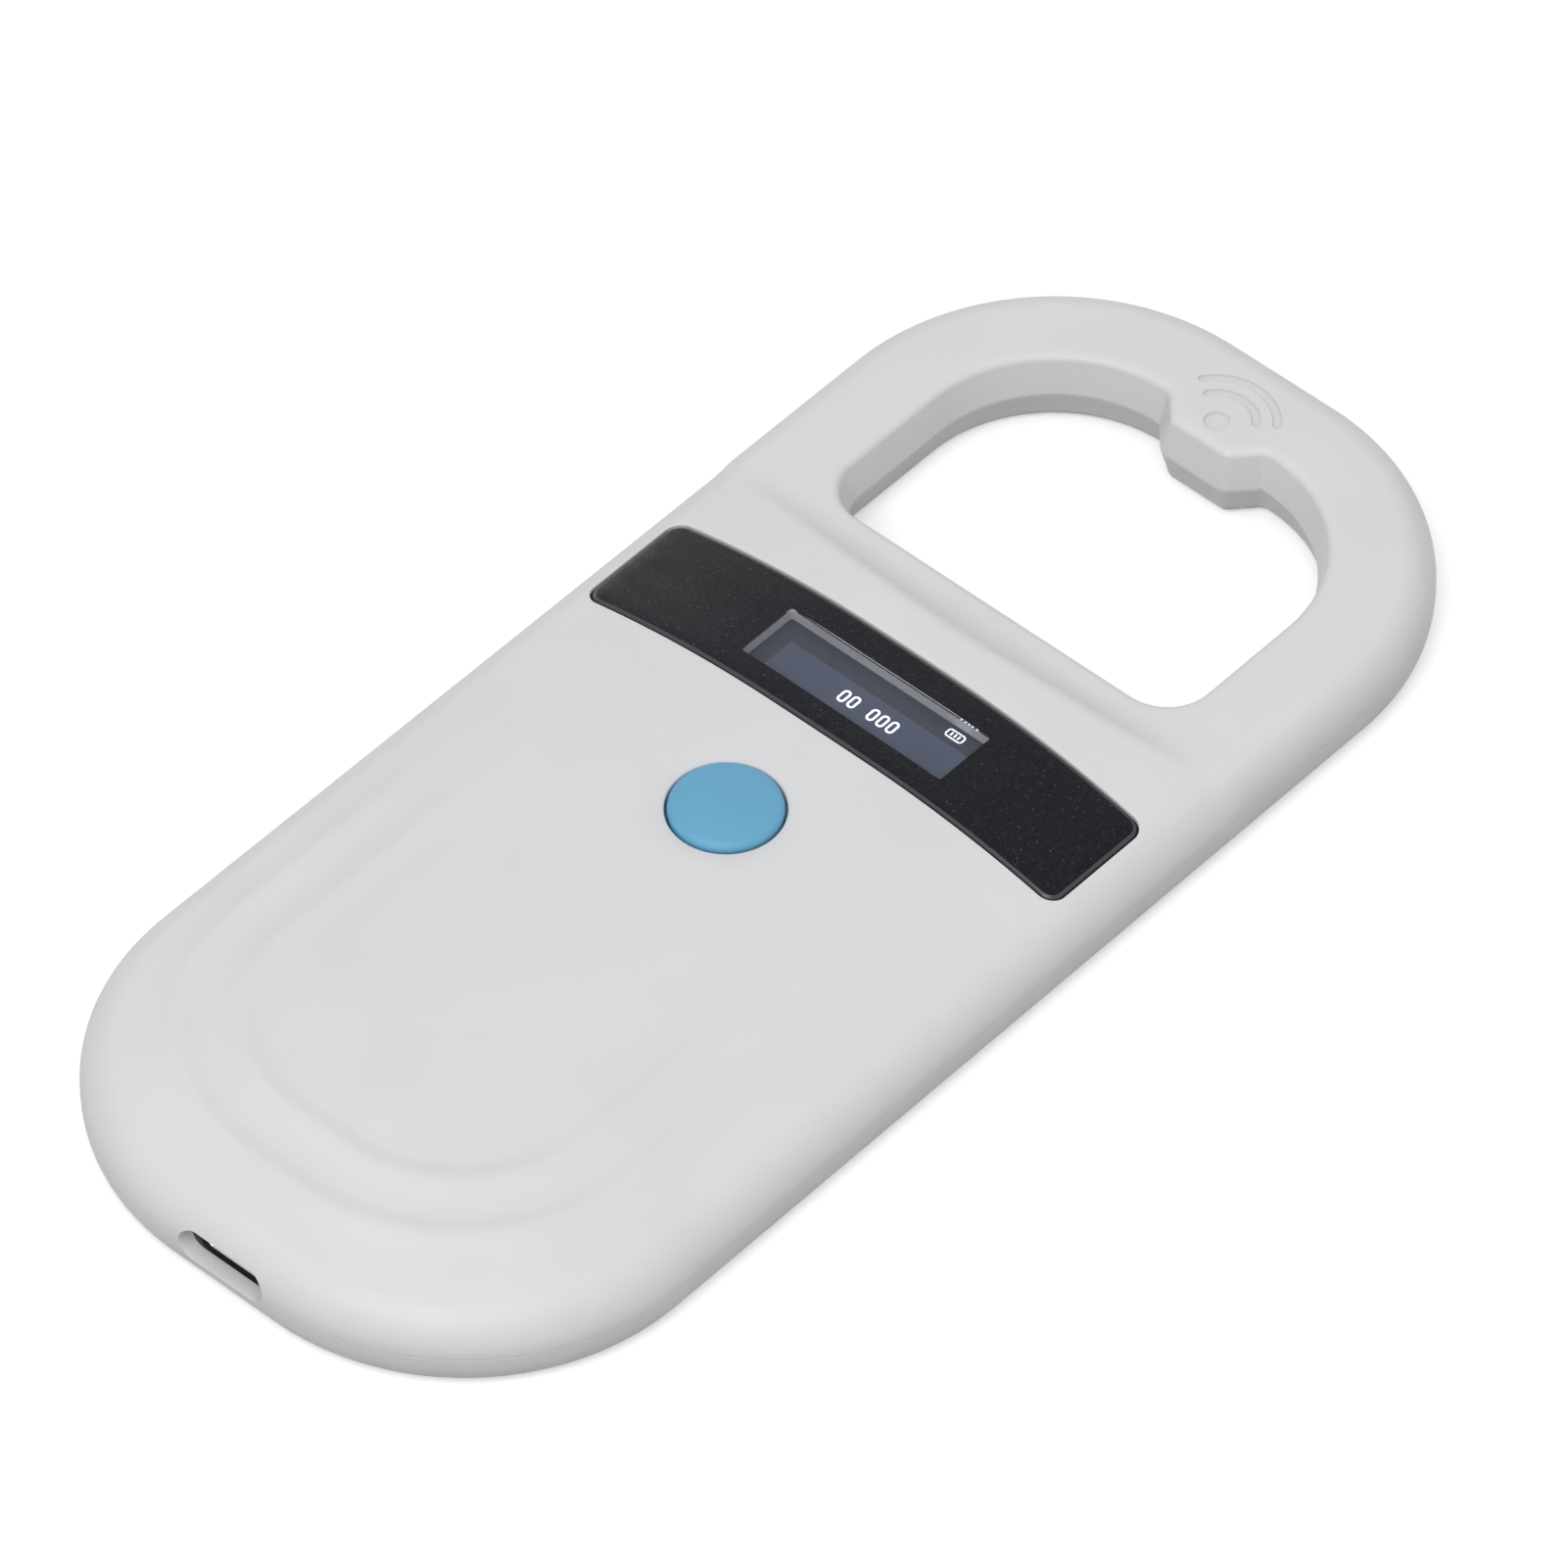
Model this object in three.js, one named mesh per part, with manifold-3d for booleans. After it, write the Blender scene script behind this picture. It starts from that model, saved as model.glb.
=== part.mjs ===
// A hand-held microchip scanner for a veterinary clinic: a flat two-shell case with a
// reading loop at one end, a display under a dark panel, one round scan button and a
// charging socket.
//
// Millimetres, +Z up. The origin is the centre of the case's footprint, on its underside.
// +Y points to the reading loop and -Y to the charging socket.

import * as THREE from 'three';
import { mergeVertices } from 'three/addons/utils/BufferGeometryUtils.js';
import Module from 'manifold-3d';

const wasm = await Module();
wasm.setup();

// ---------------------------------------------------------------- driving dimensions

// Clearance left between pieces that touch on the real scanner.
const GAP = 0.2;

// The case: a rounded rectangle seen from above. The loop end is flat and thinner than
// the crowned body, and the two shells meet at the seam.
const CASE = {
  halfWidth: 37.9, halfLength: 86.6, corner: 30.5,
  loopTop: 9.5, bodyTop: 12.1, seam: 4.5,
};
// How far the case's edges round in from its outline, above the seam and at the underside.
const EDGE = { topInset: 4.5, baseInset: 2.1, baseRise: 3.6 };
const WALL = { side: 3.0, top: 1.5, base: 1.8, hole: 2.2 };
// The step down from the body to the loop: a crest that curves, and a straight foot.
const SCOOP = { crestMid: 29.3, crestRise: 2.5, crestReach: 30, foot: 35.4 };
// The hole in the reading loop, at the loop's top face, with the tab on its far side.
const HOLE = {
  halfWidth: 26.15, near: 36.6, far: 74.6, nearCorner: 6, farCorner: 19,
  tabTip: 71.2, tabTipHalf: 4, tabRootHalf: 7,
};
// The hole's wall leans in to the seam, and back out below it: offset from the top edge.
const HOLE_LEAN = { seam: 1.2, base: 0.3 };

const PANEL = { halfWidth: 33.9, near: 7.8, far: 22.65, nearBow: 0.5, farBow: 0.85, corner: 1.7, thickness: 0.5 };
const ADHESIVE = { thickness: 0.15, margin: 1.2 };
const RECESS = { depth: 0.85, gap: 0.3 };
const WINDOW = { halfWidth: 14.45, near: 11.55, far: 19.85, thickness: 0.4 };
const OLED = { halfWidth: 15.0, near: 10.1, far: 21.6, thickness: 1.2 };

const BUTTON = {
  y: -6.9, holeRadius: 6.7, radius: 6.4, top: 12.75, dome: 0.5,
  flangeRadius: 7.5, flangeLow: 9.8, flangeHigh: 10.35,
};
const SWITCH = { halfSize: 3, height: 1.2, wellRadius: 2.0, wellDepth: 0.8, plungerRadius: 1.6 };

const BOARD = { halfWidth: 22, near: -82.6, far: 26, low: 6.6, thickness: 1.0 };
const BOARD_TOP = BOARD.low + BOARD.thickness;
const BATTERY = { halfWidth: 17, near: -66, far: -18, low: 2.7, thickness: 3.6, corner: 2 };

// The charging port's opening in the end wall, and the socket behind it.
const PORT = { halfWidth: 5.9, halfHeight: 1.9, z: 4.7 };
const SOCKET = { halfWidth: 4.47, halfHeight: 1.6, depth: 7.3, skin: 0.3 };

const COIL = {
  halfWidth: 32.5, near: 30.6, far: 81, nearCorner: 9, farCorner: 25, width: 3, low: 2.8, high: 6.2,
};

const SCREW = { headRadius: 1.9, headHeight: 1.3, shankRadius: 1.0, length: 7.1, low: 0.7 };
const SCREW_PLACES = [[-29, 2], [29, 2], [-27, -58], [27, -58]];
const BOSS = { radius: 3.0, pilotRadius: 1.3, boreRadius: 2.3, boreDepth: 2.2, top: 9.6, pilotTop: 8.6 };
const BOARD_POSTS = [[-19.8, 8], [19.8, 8], [-19.8, -60], [19.8, -60]];
const POST_RADIUS = 1.4;

// Steps on a quarter circle of the case, and of small round pieces.
const CORNER_STEPS = 10;
const ROUND_STEPS = 32;
// Heights well clear of the case, for solids that only cut.
const BELOW = -2;
const ABOVE = 20;

// ------------------------------------------------------------------------- materials

function material(color, roughness, metalness = 0) {
  return new THREE.MeshStandardMaterial({ color, roughness, metalness });
}

const MATERIALS = {
  casePlastic: material(0xdcdcde, 0.55),
  panelFilm: material(0x232427, 0.45),
  clearLens: new THREE.MeshStandardMaterial({ color: 0x8a8f98, roughness: 0.1, transparent: true, opacity: 0.35 }),
  displayGlass: material(0x2b2e3a, 0.12),
  buttonPlastic: material(0x6fa9cc, 0.5),
  boardGreen: material(0x1f5c3a, 0.5),
  chipBlack: material(0x1b1b1d, 0.6),
  metal: material(0xb9bcc0, 0.35, 1),
  copper: material(0xb5653a, 0.35, 1),
  batteryFoil: material(0xc2c5c9, 0.4, 1),
  foam: material(0x3a3a3c, 0.95),
  tape: material(0xc9a24a, 0.5),
  connectorWhite: material(0xe8e6df, 0.5),
  wireRed: material(0xb3262a, 0.5),
  wireBlack: material(0x1a1a1a, 0.5),
};

// ----------------------------------------------------------------------- plan outlines

function arcPoints(cx, cy, radius, fromDeg, toDeg, steps) {
  return Array.from({ length: steps + 1 }, (_, i) => {
    const angle = THREE.MathUtils.degToRad(fromDeg + ((toDeg - fromDeg) * i) / steps);
    return [cx + radius * Math.cos(angle), cy + radius * Math.sin(angle)];
  });
}

// A rounded rectangle centred on x = 0, counter-clockwise. Its near and far corners can differ.
function roundedRectangle(halfWidth, near, far, nearCorner, farCorner = nearCorner, steps = 6) {
  const nearX = halfWidth - nearCorner;
  const farX = halfWidth - farCorner;
  return [
    ...arcPoints(nearX, near + nearCorner, nearCorner, -90, 0, steps),
    ...arcPoints(farX, far - farCorner, farCorner, 0, 90, steps),
    ...arcPoints(-farX, far - farCorner, farCorner, 90, 180, steps),
    ...arcPoints(-nearX, near + nearCorner, nearCorner, 180, 270, steps),
  ];
}

function circle(cx, cy, radius, steps = ROUND_STEPS) {
  return arcPoints(cx, cy, radius, 0, 360, steps).slice(0, -1);
}

// The case's outline, moved in by the inset.
function caseOutline(inset) {
  const { halfWidth, halfLength, corner } = CASE;
  return roundedRectangle(
    halfWidth - inset, inset - halfLength, halfLength - inset, corner - inset, corner - inset, CORNER_STEPS,
  );
}

// The hole's outline, closed in by the offset. The tab grows as the hole closes in.
function holeOutline(offset) {
  const halfWidth = HOLE.halfWidth - offset;
  const near = HOLE.near + offset;
  const far = HOLE.far - offset;
  const nearCorner = HOLE.nearCorner - offset;
  const farCorner = HOLE.farCorner - offset;
  const nearX = halfWidth - nearCorner;
  const farX = halfWidth - farCorner;
  const rootHalf = HOLE.tabRootHalf + offset;
  const tipHalf = HOLE.tabTipHalf + offset;
  const tip = HOLE.tabTip - offset;
  // The two outline points beside the tab's root soften its inner corner.
  const shoulder = 1.2;
  return [
    ...arcPoints(nearX, near + nearCorner, nearCorner, -90, 0, 5),
    ...arcPoints(farX, far - farCorner, farCorner, 0, 85, 9),
    [rootHalf, far - shoulder / 3], [rootHalf - shoulder, far - shoulder], [tipHalf, tip],
    [-tipHalf, tip], [shoulder - rootHalf, far - shoulder], [-rootHalf, far - shoulder / 3],
    ...arcPoints(-farX, far - farCorner, farCorner, 95, 180, 9),
    ...arcPoints(-nearX, near + nearCorner, nearCorner, 180, 270, 5),
  ];
}

// --------------------------------------------------------------------- case top surface

const CORE_X = CASE.halfWidth - CASE.corner;
const CORE_Y = CASE.halfLength - CASE.corner;
// The crown falls to the loop's level where the edge rounding starts.
const CROWN = (CASE.bodyTop - CASE.loopTop) / (CASE.corner - EDGE.topInset) ** 2;

function crownHeight(x, y) {
  const across = Math.max(Math.abs(x) - CORE_X, 0);
  const along = Math.max(-y - CORE_Y, 0);
  return CASE.bodyTop - CROWN * (across ** 2 + along ** 2);
}

function crestY(x) {
  return SCOOP.crestMid + SCOOP.crestRise * (x / SCOOP.crestReach) ** 2;
}

function topHeight(x, y) {
  const crest = crestY(x);
  const down = THREE.MathUtils.clamp((y - crest) / (SCOOP.foot - crest), 0, 1);
  return CASE.loopTop + (crownHeight(x, y) - CASE.loopTop) * (1 - down) ** 2;
}

// ---------------------------------------------------------------------- solid builders

function geometryFrom(vertices, triangles) {
  const geometry = new THREE.BufferGeometry();
  geometry.setAttribute('position', new THREE.Float32BufferAttribute(vertices.flat(), 3));
  geometry.setIndex(triangles.flat());
  return geometry;
}

// Joins equal rings of points, listed from the lowest up, into a closed solid.
function loft(rings) {
  const count = rings[0].length;
  const triangles = [];
  for (let ring = 0; ring < rings.length - 1; ring += 1) {
    for (let i = 0; i < count; i += 1) {
      const a = ring * count + i;
      const b = ring * count + ((i + 1) % count);
      triangles.push([a, b, b + count], [a, b + count, a + count]);
    }
  }
  const cap = (ring) => {
    const plan = ring.map(([x, y]) => new THREE.Vector2(x, y));
    return THREE.ShapeUtils.triangulateShape(plan, []);
  };
  const last = (rings.length - 1) * count;
  cap(rings[0]).forEach(([a, b, c]) => triangles.push([a, c, b]));
  cap(rings[rings.length - 1]).forEach(([a, b, c]) => triangles.push([a + last, b + last, c + last]));
  return geometryFrom(rings.flat(), triangles);
}

function ringAt(outline, z) {
  return outline.map(([x, y]) => [x, y, typeof z === 'function' ? z(x, y) : z]);
}

function prism(outline, low, high) {
  return loft([ringAt(outline, low), ringAt(outline, high)]);
}

// A prism whose outline is drawn in X and Z, running along +Y.
function prismAlongY(outline, near, far) {
  return prism(outline, -far, -near).rotateX(Math.PI / 2);
}

// A closed block on a grid of columns (x values) and rows (functions of x that give y),
// between two height functions.
function gridBlock(columns, rows, lowHeight, highHeight) {
  const layer = (height) => columns.flatMap((x) => rows.map((row) => [x, row(x), height(x, row(x))]));
  const vertices = [...layer(lowHeight), ...layer(highHeight)];
  const triangles = [];
  const top = columns.length * rows.length;
  const at = (i, j) => i * rows.length + j;
  for (let i = 0; i < columns.length - 1; i += 1) {
    for (let j = 0; j < rows.length - 1; j += 1) {
      const [a, b, c, d] = [at(i, j), at(i + 1, j), at(i + 1, j + 1), at(i, j + 1)];
      triangles.push([a, c, b], [a, d, c], [a + top, b + top, c + top], [a + top, c + top, d + top]);
    }
  }
  const wall = (a, b) => triangles.push([a, b, b + top], [a, b + top, a + top]);
  for (let i = 0; i < columns.length - 1; i += 1) {
    wall(at(i, 0), at(i + 1, 0));
    wall(at(i + 1, rows.length - 1), at(i, rows.length - 1));
  }
  for (let j = 0; j < rows.length - 1; j += 1) {
    wall(at(columns.length - 1, j), at(columns.length - 1, j + 1));
    wall(at(0, j + 1), at(0, j));
  }
  return geometryFrom(vertices, triangles);
}

// A body of revolution about the vertical line through (x, y). The profile lists
// [radius, z] pairs from the axis at the bottom to the axis at the top.
function turned(profile, x = 0, y = 0, steps = ROUND_STEPS) {
  const points = profile.map(([radius, z]) => new THREE.Vector2(radius, z));
  return new THREE.LatheGeometry(points, steps).rotateX(Math.PI / 2).translate(x, y, 0);
}

function box(halfX, near, far, low, high, x = 0) {
  const geometry = new THREE.BoxGeometry(2 * halfX, far - near, high - low);
  return geometry.translate(x, (near + far) / 2, (low + high) / 2);
}

// A round wire through the given points.
function wire(points, radius) {
  const path = new THREE.CatmullRomCurve3(points.map((p) => new THREE.Vector3(...p)));
  const section = new THREE.Shape(circle(0, 0, radius, 8).map(([x, y]) => new THREE.Vector2(x, y)));
  return new THREE.ExtrudeGeometry(section, { steps: 12, extrudePath: path });
}

function solid(geometry) {
  const bare = geometry.clone();
  bare.deleteAttribute('normal');
  bare.deleteAttribute('uv');
  const merged = mergeVertices(bare, 1e-5);
  const vertProperties = new Float32Array(merged.getAttribute('position').array);
  const triVerts = new Uint32Array(merged.getIndex().array);
  return new wasm.Manifold(new wasm.Mesh({ numProp: 3, vertProperties, triVerts }));
}

function joined(base, additions) {
  return additions.reduce((sum, geometry) => sum.add(solid(geometry)), base);
}

function cut(base, tools) {
  return tools.reduce((rest, geometry) => rest.subtract(solid(geometry)), base);
}

function fromSolid(shape) {
  const mesh = shape.getMesh();
  const geometry = new THREE.BufferGeometry();
  geometry.setAttribute('position', new THREE.BufferAttribute(new Float32Array(mesh.vertProperties), 3));
  geometry.setIndex(new THREE.BufferAttribute(new Uint32Array(mesh.triVerts), 1));
  return geometry;
}

const scanner = new THREE.Group();

function addPart(name, geometry, look) {
  const mesh = new THREE.Mesh(geometry, look);
  mesh.name = name;
  scanner.add(mesh);
}

// ---------------------------------------------------------------------------- shells

const SHELL_GAP = GAP / 2;
const TOP_SHELL_LOW = CASE.seam + SHELL_GAP;
const BASE_SHELL_HIGH = CASE.seam - SHELL_GAP;

// Columns and rows of the case's top surface. The rows follow the scoop's crest and foot.
const SURFACE_COLUMNS = Array.from({ length: 21 }, (_, i) => -40 + 4 * i);
const SURFACE_ROWS = [
  ...[-92, -83, -78, -73, -68, -63, -CORE_Y, 0].map((y) => () => y),
  ...[0, 0.25, 0.5, 0.75, 1].map((t) => (x) => crestY(x) + t * (SCOOP.foot - crestY(x))),
  () => 92,
];

function underTop(depth) {
  const height = (x, y) => topHeight(x, y) - depth;
  return gridBlock(SURFACE_COLUMNS, SURFACE_ROWS, () => BELOW, height);
}

// The rounded wall between the seam and the top surface, run up well past that surface.
function topEnvelope() {
  const rings = [0, 0.35, 0.7, 1].map((turn) => {
    const angle = (turn * Math.PI) / 2;
    const inset = EDGE.topInset * (1 - Math.cos(angle));
    const rise = Math.sin(angle);
    return ringAt(caseOutline(inset), (x, y) => CASE.seam + (topHeight(x, y) - CASE.seam) * rise);
  });
  rings[rings.length - 1] = rings[rings.length - 1].map(([x, y, z]) => [x, y, z + GAP]);
  return loft([
    ringAt(caseOutline(0), TOP_SHELL_LOW),
    ...rings.slice(1),
    ringAt(caseOutline(EDGE.topInset), ABOVE),
  ]);
}

function baseEnvelope() {
  const rings = [1, 0.6, 0.25, 0].map((turn) => {
    const angle = (turn * Math.PI) / 2;
    const inset = EDGE.baseInset * (1 - Math.cos(angle));
    return ringAt(caseOutline(inset), EDGE.baseRise * (1 - Math.sin(angle)));
  });
  return loft([...rings, ringAt(caseOutline(0), BASE_SHELL_HIGH)]);
}

// The space inside the case: the outline less the side wall, without the hole's own wall.
function caseHollow(low) {
  const hollow = solid(prism(caseOutline(WALL.side), low, ABOVE)).intersect(solid(underTop(WALL.top)));
  return cut(hollow, [prism(holeOutline(-WALL.hole), BELOW - 1, ABOVE + 1)]);
}

function holeCutter() {
  const lean = (offset, z) => ringAt(holeOutline(offset), z);
  return loft([
    lean(-0.4, BELOW), lean(-0.4, 0), lean(0.3, 0.4), lean(HOLE_LEAN.base + 0.15, 1.5),
    lean(HOLE_LEAN.seam, CASE.seam), lean(0, CASE.loopTop), lean(-0.5, CASE.loopTop + 0.4),
    lean(-0.5, ABOVE),
  ]);
}

function portCutter() {
  const { halfWidth, halfHeight, z } = PORT;
  const outline = roundedRectangle(halfWidth, z - halfHeight, z + halfHeight, halfHeight, halfHeight, 5);
  return prismAlongY(outline, -CASE.halfLength - 2, -CASE.halfLength + WALL.side + 1);
}

// A plate that follows the crown, between two depths below it. Its plan is the display
// panel's, grown by the margin, with small round corners. The far margin can differ.
function panelPlate(margin, lowDepth, highDepth) {
  const halfWidth = PANEL.halfWidth + margin;
  const corner = Math.max(PANEL.corner + margin, 0.4);
  const turnIn = (x) => {
    const over = Math.max(Math.abs(x) - (halfWidth - corner), 0);
    return corner - Math.sqrt(Math.max(corner ** 2 - over ** 2, 0));
  };
  const bow = (height, x) => height * (1 - (x / PANEL.halfWidth) ** 2);
  const inner = halfWidth - corner;
  const ends = [0.5, 0.85, 0.98].map((t) => inner + corner * t);
  const middle = Array.from({ length: 17 }, (_, i) => -inner + (2 * inner * i) / 16);
  const columns = [...ends.map((x) => -x).reverse(), ...middle, ...ends];
  const near = (x) => PANEL.near - margin + bow(PANEL.nearBow, x) + turnIn(x);
  const far = (x) => PANEL.far + margin + bow(PANEL.farBow, x) - turnIn(x);
  const under = (depth) => (x, y) => (depth === null ? ABOVE : crownHeight(x, y) - depth);
  return gridBlock(columns, [near, far], under(lowDepth), under(highDepth));
}

function windowCutter(margin, low, high) {
  return box(WINDOW.halfWidth + margin, WINDOW.near - margin, WINDOW.far + margin, low, high);
}

function addTopShell() {
  const bosses = SCREW_PLACES.map(([x, y]) => prism(circle(x, y, BOSS.radius - GAP), TOP_SHELL_LOW, BOSS.top));
  const pilots = SCREW_PLACES.map(([x, y]) => prism(circle(x, y, BOSS.pilotRadius, 16), BELOW, BOSS.pilotTop));
  const skin = solid(topEnvelope()).intersect(solid(underTop(0))).subtract(caseHollow(BELOW));
  const shell = cut(joined(skin, bosses), [
    ...pilots,
    holeCutter(),
    portCutter(),
    panelPlate(RECESS.gap, RECESS.depth, null),
    windowCutter(0, CASE.seam, ABOVE),
    prism(circle(0, BUTTON.y, BUTTON.holeRadius), CASE.seam, ABOVE),
  ]);
  addPart('top_shell', fromSolid(shell), MATERIALS.casePlastic);
}

function addBottomShell() {
  const bosses = SCREW_PLACES.map(([x, y]) => prism(circle(x, y, BOSS.radius), WALL.base - 0.5, BASE_SHELL_HIGH));
  const posts = BOARD_POSTS.map(([x, y]) => prism(circle(x, y, POST_RADIUS, 16), WALL.base - 0.5, BOARD.low - GAP));
  const bores = SCREW_PLACES.map(([x, y]) => prism(circle(x, y, BOSS.boreRadius), BELOW, BOSS.boreDepth));
  const pilots = SCREW_PLACES.map(([x, y]) => prism(circle(x, y, BOSS.pilotRadius, 16), BELOW, ABOVE));
  const skin = solid(baseEnvelope()).subtract(caseHollow(WALL.base));
  const shell = cut(joined(skin, [...bosses, ...posts]), [...bores, ...pilots, holeCutter(), portCutter()]);
  addPart('bottom_shell', fromSolid(shell), MATERIALS.casePlastic);
}

// --------------------------------------------------------------------------- display

function addPanel() {
  const frame = cut(solid(panelPlate(0, PANEL.thickness, 0)), [windowCutter(0, CASE.seam, ABOVE)]);
  addPart('display_panel', fromSolid(frame), MATERIALS.panelFilm);

  const low = RECESS.depth - 0.1;
  const glue = cut(
    solid(panelPlate(-ADHESIVE.margin, low, low - ADHESIVE.thickness)),
    [windowCutter(ADHESIVE.margin, CASE.seam, ABOVE)],
  );
  addPart('panel_adhesive', fromSolid(glue), MATERIALS.tape);

  const top = CASE.bodyTop - 0.1;
  addPart('display_window', windowCutter(-GAP, top - WINDOW.thickness, top), MATERIALS.clearLens);
}

// The glass clears the crown's underside, which is lowest over the display's ends.
const OLED_TOP = crownHeight(OLED.halfWidth, 0) - WALL.top - GAP;
const OLED_LOW = OLED_TOP - OLED.thickness;

function addDisplay() {
  addPart('oled_display', box(OLED.halfWidth, OLED.near, OLED.far, OLED_LOW, OLED_TOP), MATERIALS.displayGlass);
  addPart(
    'display_spacer',
    box(OLED.halfWidth - 1, OLED.near + 1, OLED.far - 1, BOARD_TOP + GAP, OLED_LOW - GAP),
    MATERIALS.foam,
  );
  // The display's ribbon folds from its left edge down on to the board.
  const half = 0.1;
  const upper = OLED_LOW + 0.4;
  const lower = BOARD_TOP + GAP + half;
  const start = -OLED.halfWidth - 0.3;
  const bend = start - 2;
  const bendRadius = (upper - lower) / 2;
  const middle = (upper + lower) / 2;
  const band = [
    [start, upper + half],
    ...arcPoints(bend, middle, bendRadius + half, 90, 270, 10),
    [start, lower - half],
    [start, lower + half],
    ...arcPoints(bend, middle, bendRadius - half, 270, 90, 10),
    [start, upper - half],
  ];
  const ribbonHalf = 5;
  const centre = (OLED.near + OLED.far) / 2;
  addPart('oled_ribbon', prismAlongY(band, centre - ribbonHalf, centre + ribbonHalf), MATERIALS.tape);
}

// ---------------------------------------------------------------------------- button

const SWITCH_LOW = BOARD_TOP + GAP;
const SWITCH_TOP = SWITCH_LOW + SWITCH.height;

function addButton() {
  const { radius, top, dome, flangeRadius, flangeLow, flangeHigh, y } = BUTTON;
  const cavity = 5.2;
  const roof = 11.6;
  const stem = { radius: 2.2, low: flangeLow + 0.1 };
  const rounding = 0.5;
  const profile = [
    [0, stem.low], [stem.radius, stem.low], [stem.radius, roof], [cavity, roof], [cavity, flangeLow],
    [flangeRadius, flangeLow], [flangeRadius, flangeHigh], [radius, flangeHigh], [radius, top - rounding],
    [radius - 0.15, top - 0.15], [radius - rounding, top], [radius / 2, top + dome * 0.75], [0, top + dome],
  ];
  addPart('scan_button', turned(profile, 0, y, 48), MATERIALS.buttonPlastic);

  const plungerLow = SWITCH_TOP - 0.1;
  addPart(
    'switch_plunger',
    turned([
      [0, plungerLow], [SWITCH.plungerRadius, plungerLow],
      [SWITCH.plungerRadius, stem.low - GAP], [0, stem.low - GAP],
    ], 0, y),
    MATERIALS.chipBlack,
  );
}

function addSwitch() {
  const block = box(SWITCH.halfSize, BUTTON.y - SWITCH.halfSize, BUTTON.y + SWITCH.halfSize, SWITCH_LOW, SWITCH_TOP);
  const well = prism(circle(0, BUTTON.y, SWITCH.wellRadius), SWITCH_TOP - SWITCH.wellDepth, ABOVE);
  addPart('tactile_switch', fromSolid(cut(solid(block), [well])), MATERIALS.metal);
}

// ----------------------------------------------------------------------- electronics

function addChip(name, x, y, width, depth, height, look = MATERIALS.chipBlack) {
  const low = BOARD_TOP + GAP;
  addPart(name, box(width / 2, y - depth / 2, y + depth / 2, low, low + height, x), look);
}

function addBoard() {
  const outline = roundedRectangle(BOARD.halfWidth, BOARD.near, BOARD.far, 14, 2);
  addPart('main_board', prism(outline, BOARD.low, BOARD_TOP), MATERIALS.boardGreen);
  addChip('controller_chip', -8, -30, 7, 7, 1.2);
  addChip('reader_chip', 8, -50, 10, 6, 1.5);
  addChip('charger_chip', -8, -66, 5, 4, 1.2);
  addChip('crystal', -8, -40, 5, 3.2, 1.0, MATERIALS.metal);
  addChip('tuning_capacitor', 18.5, 20, 3.2, 2.5, 1.3, MATERIALS.tape);
}

function addBuzzer() {
  const low = BOARD_TOP + GAP;
  const high = low + 2;
  const profile = [[0, low], [4.5, low], [4.5, high], [0.8, high], [0.8, high - 0.6], [0, high - 0.6]];
  addPart('buzzer', turned(profile, 12, -30), MATERIALS.chipBlack);
}

function addSocket() {
  const near = -CASE.halfLength + WALL.side - 0.6;
  const far = near + SOCKET.depth;
  const outline = (inset) => {
    const halfZ = SOCKET.halfHeight - inset;
    return roundedRectangle(SOCKET.halfWidth - inset, PORT.z - halfZ, PORT.z + halfZ, 1.4 - inset, 1.4 - inset, 5);
  };
  const shell = cut(solid(prismAlongY(outline(0), near, far)), [
    prismAlongY(outline(SOCKET.skin), near - 1, far - 0.8),
  ]);
  addPart('usb_socket', fromSolid(shell), MATERIALS.metal);
  const tongueHalf = { x: 3.3, z: 0.35 };
  addPart(
    'usb_tongue',
    box(tongueHalf.x, near + 0.9, far - 1.1, PORT.z - tongueHalf.z, PORT.z + tongueHalf.z),
    MATERIALS.chipBlack,
  );
}

function addBattery() {
  const outline = roundedRectangle(BATTERY.halfWidth, BATTERY.near, BATTERY.far, BATTERY.corner);
  const high = BATTERY.low + BATTERY.thickness;
  addPart('battery', prism(outline, BATTERY.low, high), MATERIALS.batteryFoil);
  addPart(
    'battery_pad',
    box(BATTERY.halfWidth - 3, BATTERY.near + 4, BATTERY.far - 4, WALL.base + GAP, BATTERY.low - GAP),
    MATERIALS.foam,
  );

  // The header hangs under the board, and the plug on the battery's leads slides into it.
  const header = { near: -12, far: -7, low: 3.6, high: BOARD.low - GAP, halfX: 3 };
  const plug = { near: -13, far: -8.2, low: 4.2, high: 5.8, halfX: 2.2 };
  const body = cut(solid(box(header.halfX, header.near, header.far, header.low, header.high)), [
    box(plug.halfX + GAP, plug.near - 1, plug.far + GAP, plug.low - GAP, plug.high + GAP),
  ]);
  addPart('battery_header', fromSolid(body), MATERIALS.connectorWhite);
  addPart('battery_plug', box(plug.halfX, plug.near, plug.far, plug.low, plug.high), MATERIALS.connectorWhite);

  const leadRadius = 0.5;
  const leadZ = (plug.low + plug.high) / 2;
  const from = BATTERY.far + 0.3;
  const to = plug.near - 0.3;
  const lead = (x) => wire([[x * 2.4, from, leadZ - 0.4], [x * 1.8, (from + to) / 2, leadZ], [x, to, leadZ]], leadRadius);
  addPart('battery_lead_red', lead(-1.1), MATERIALS.wireRed);
  addPart('battery_lead_black', lead(1.1), MATERIALS.wireBlack);
}

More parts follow.
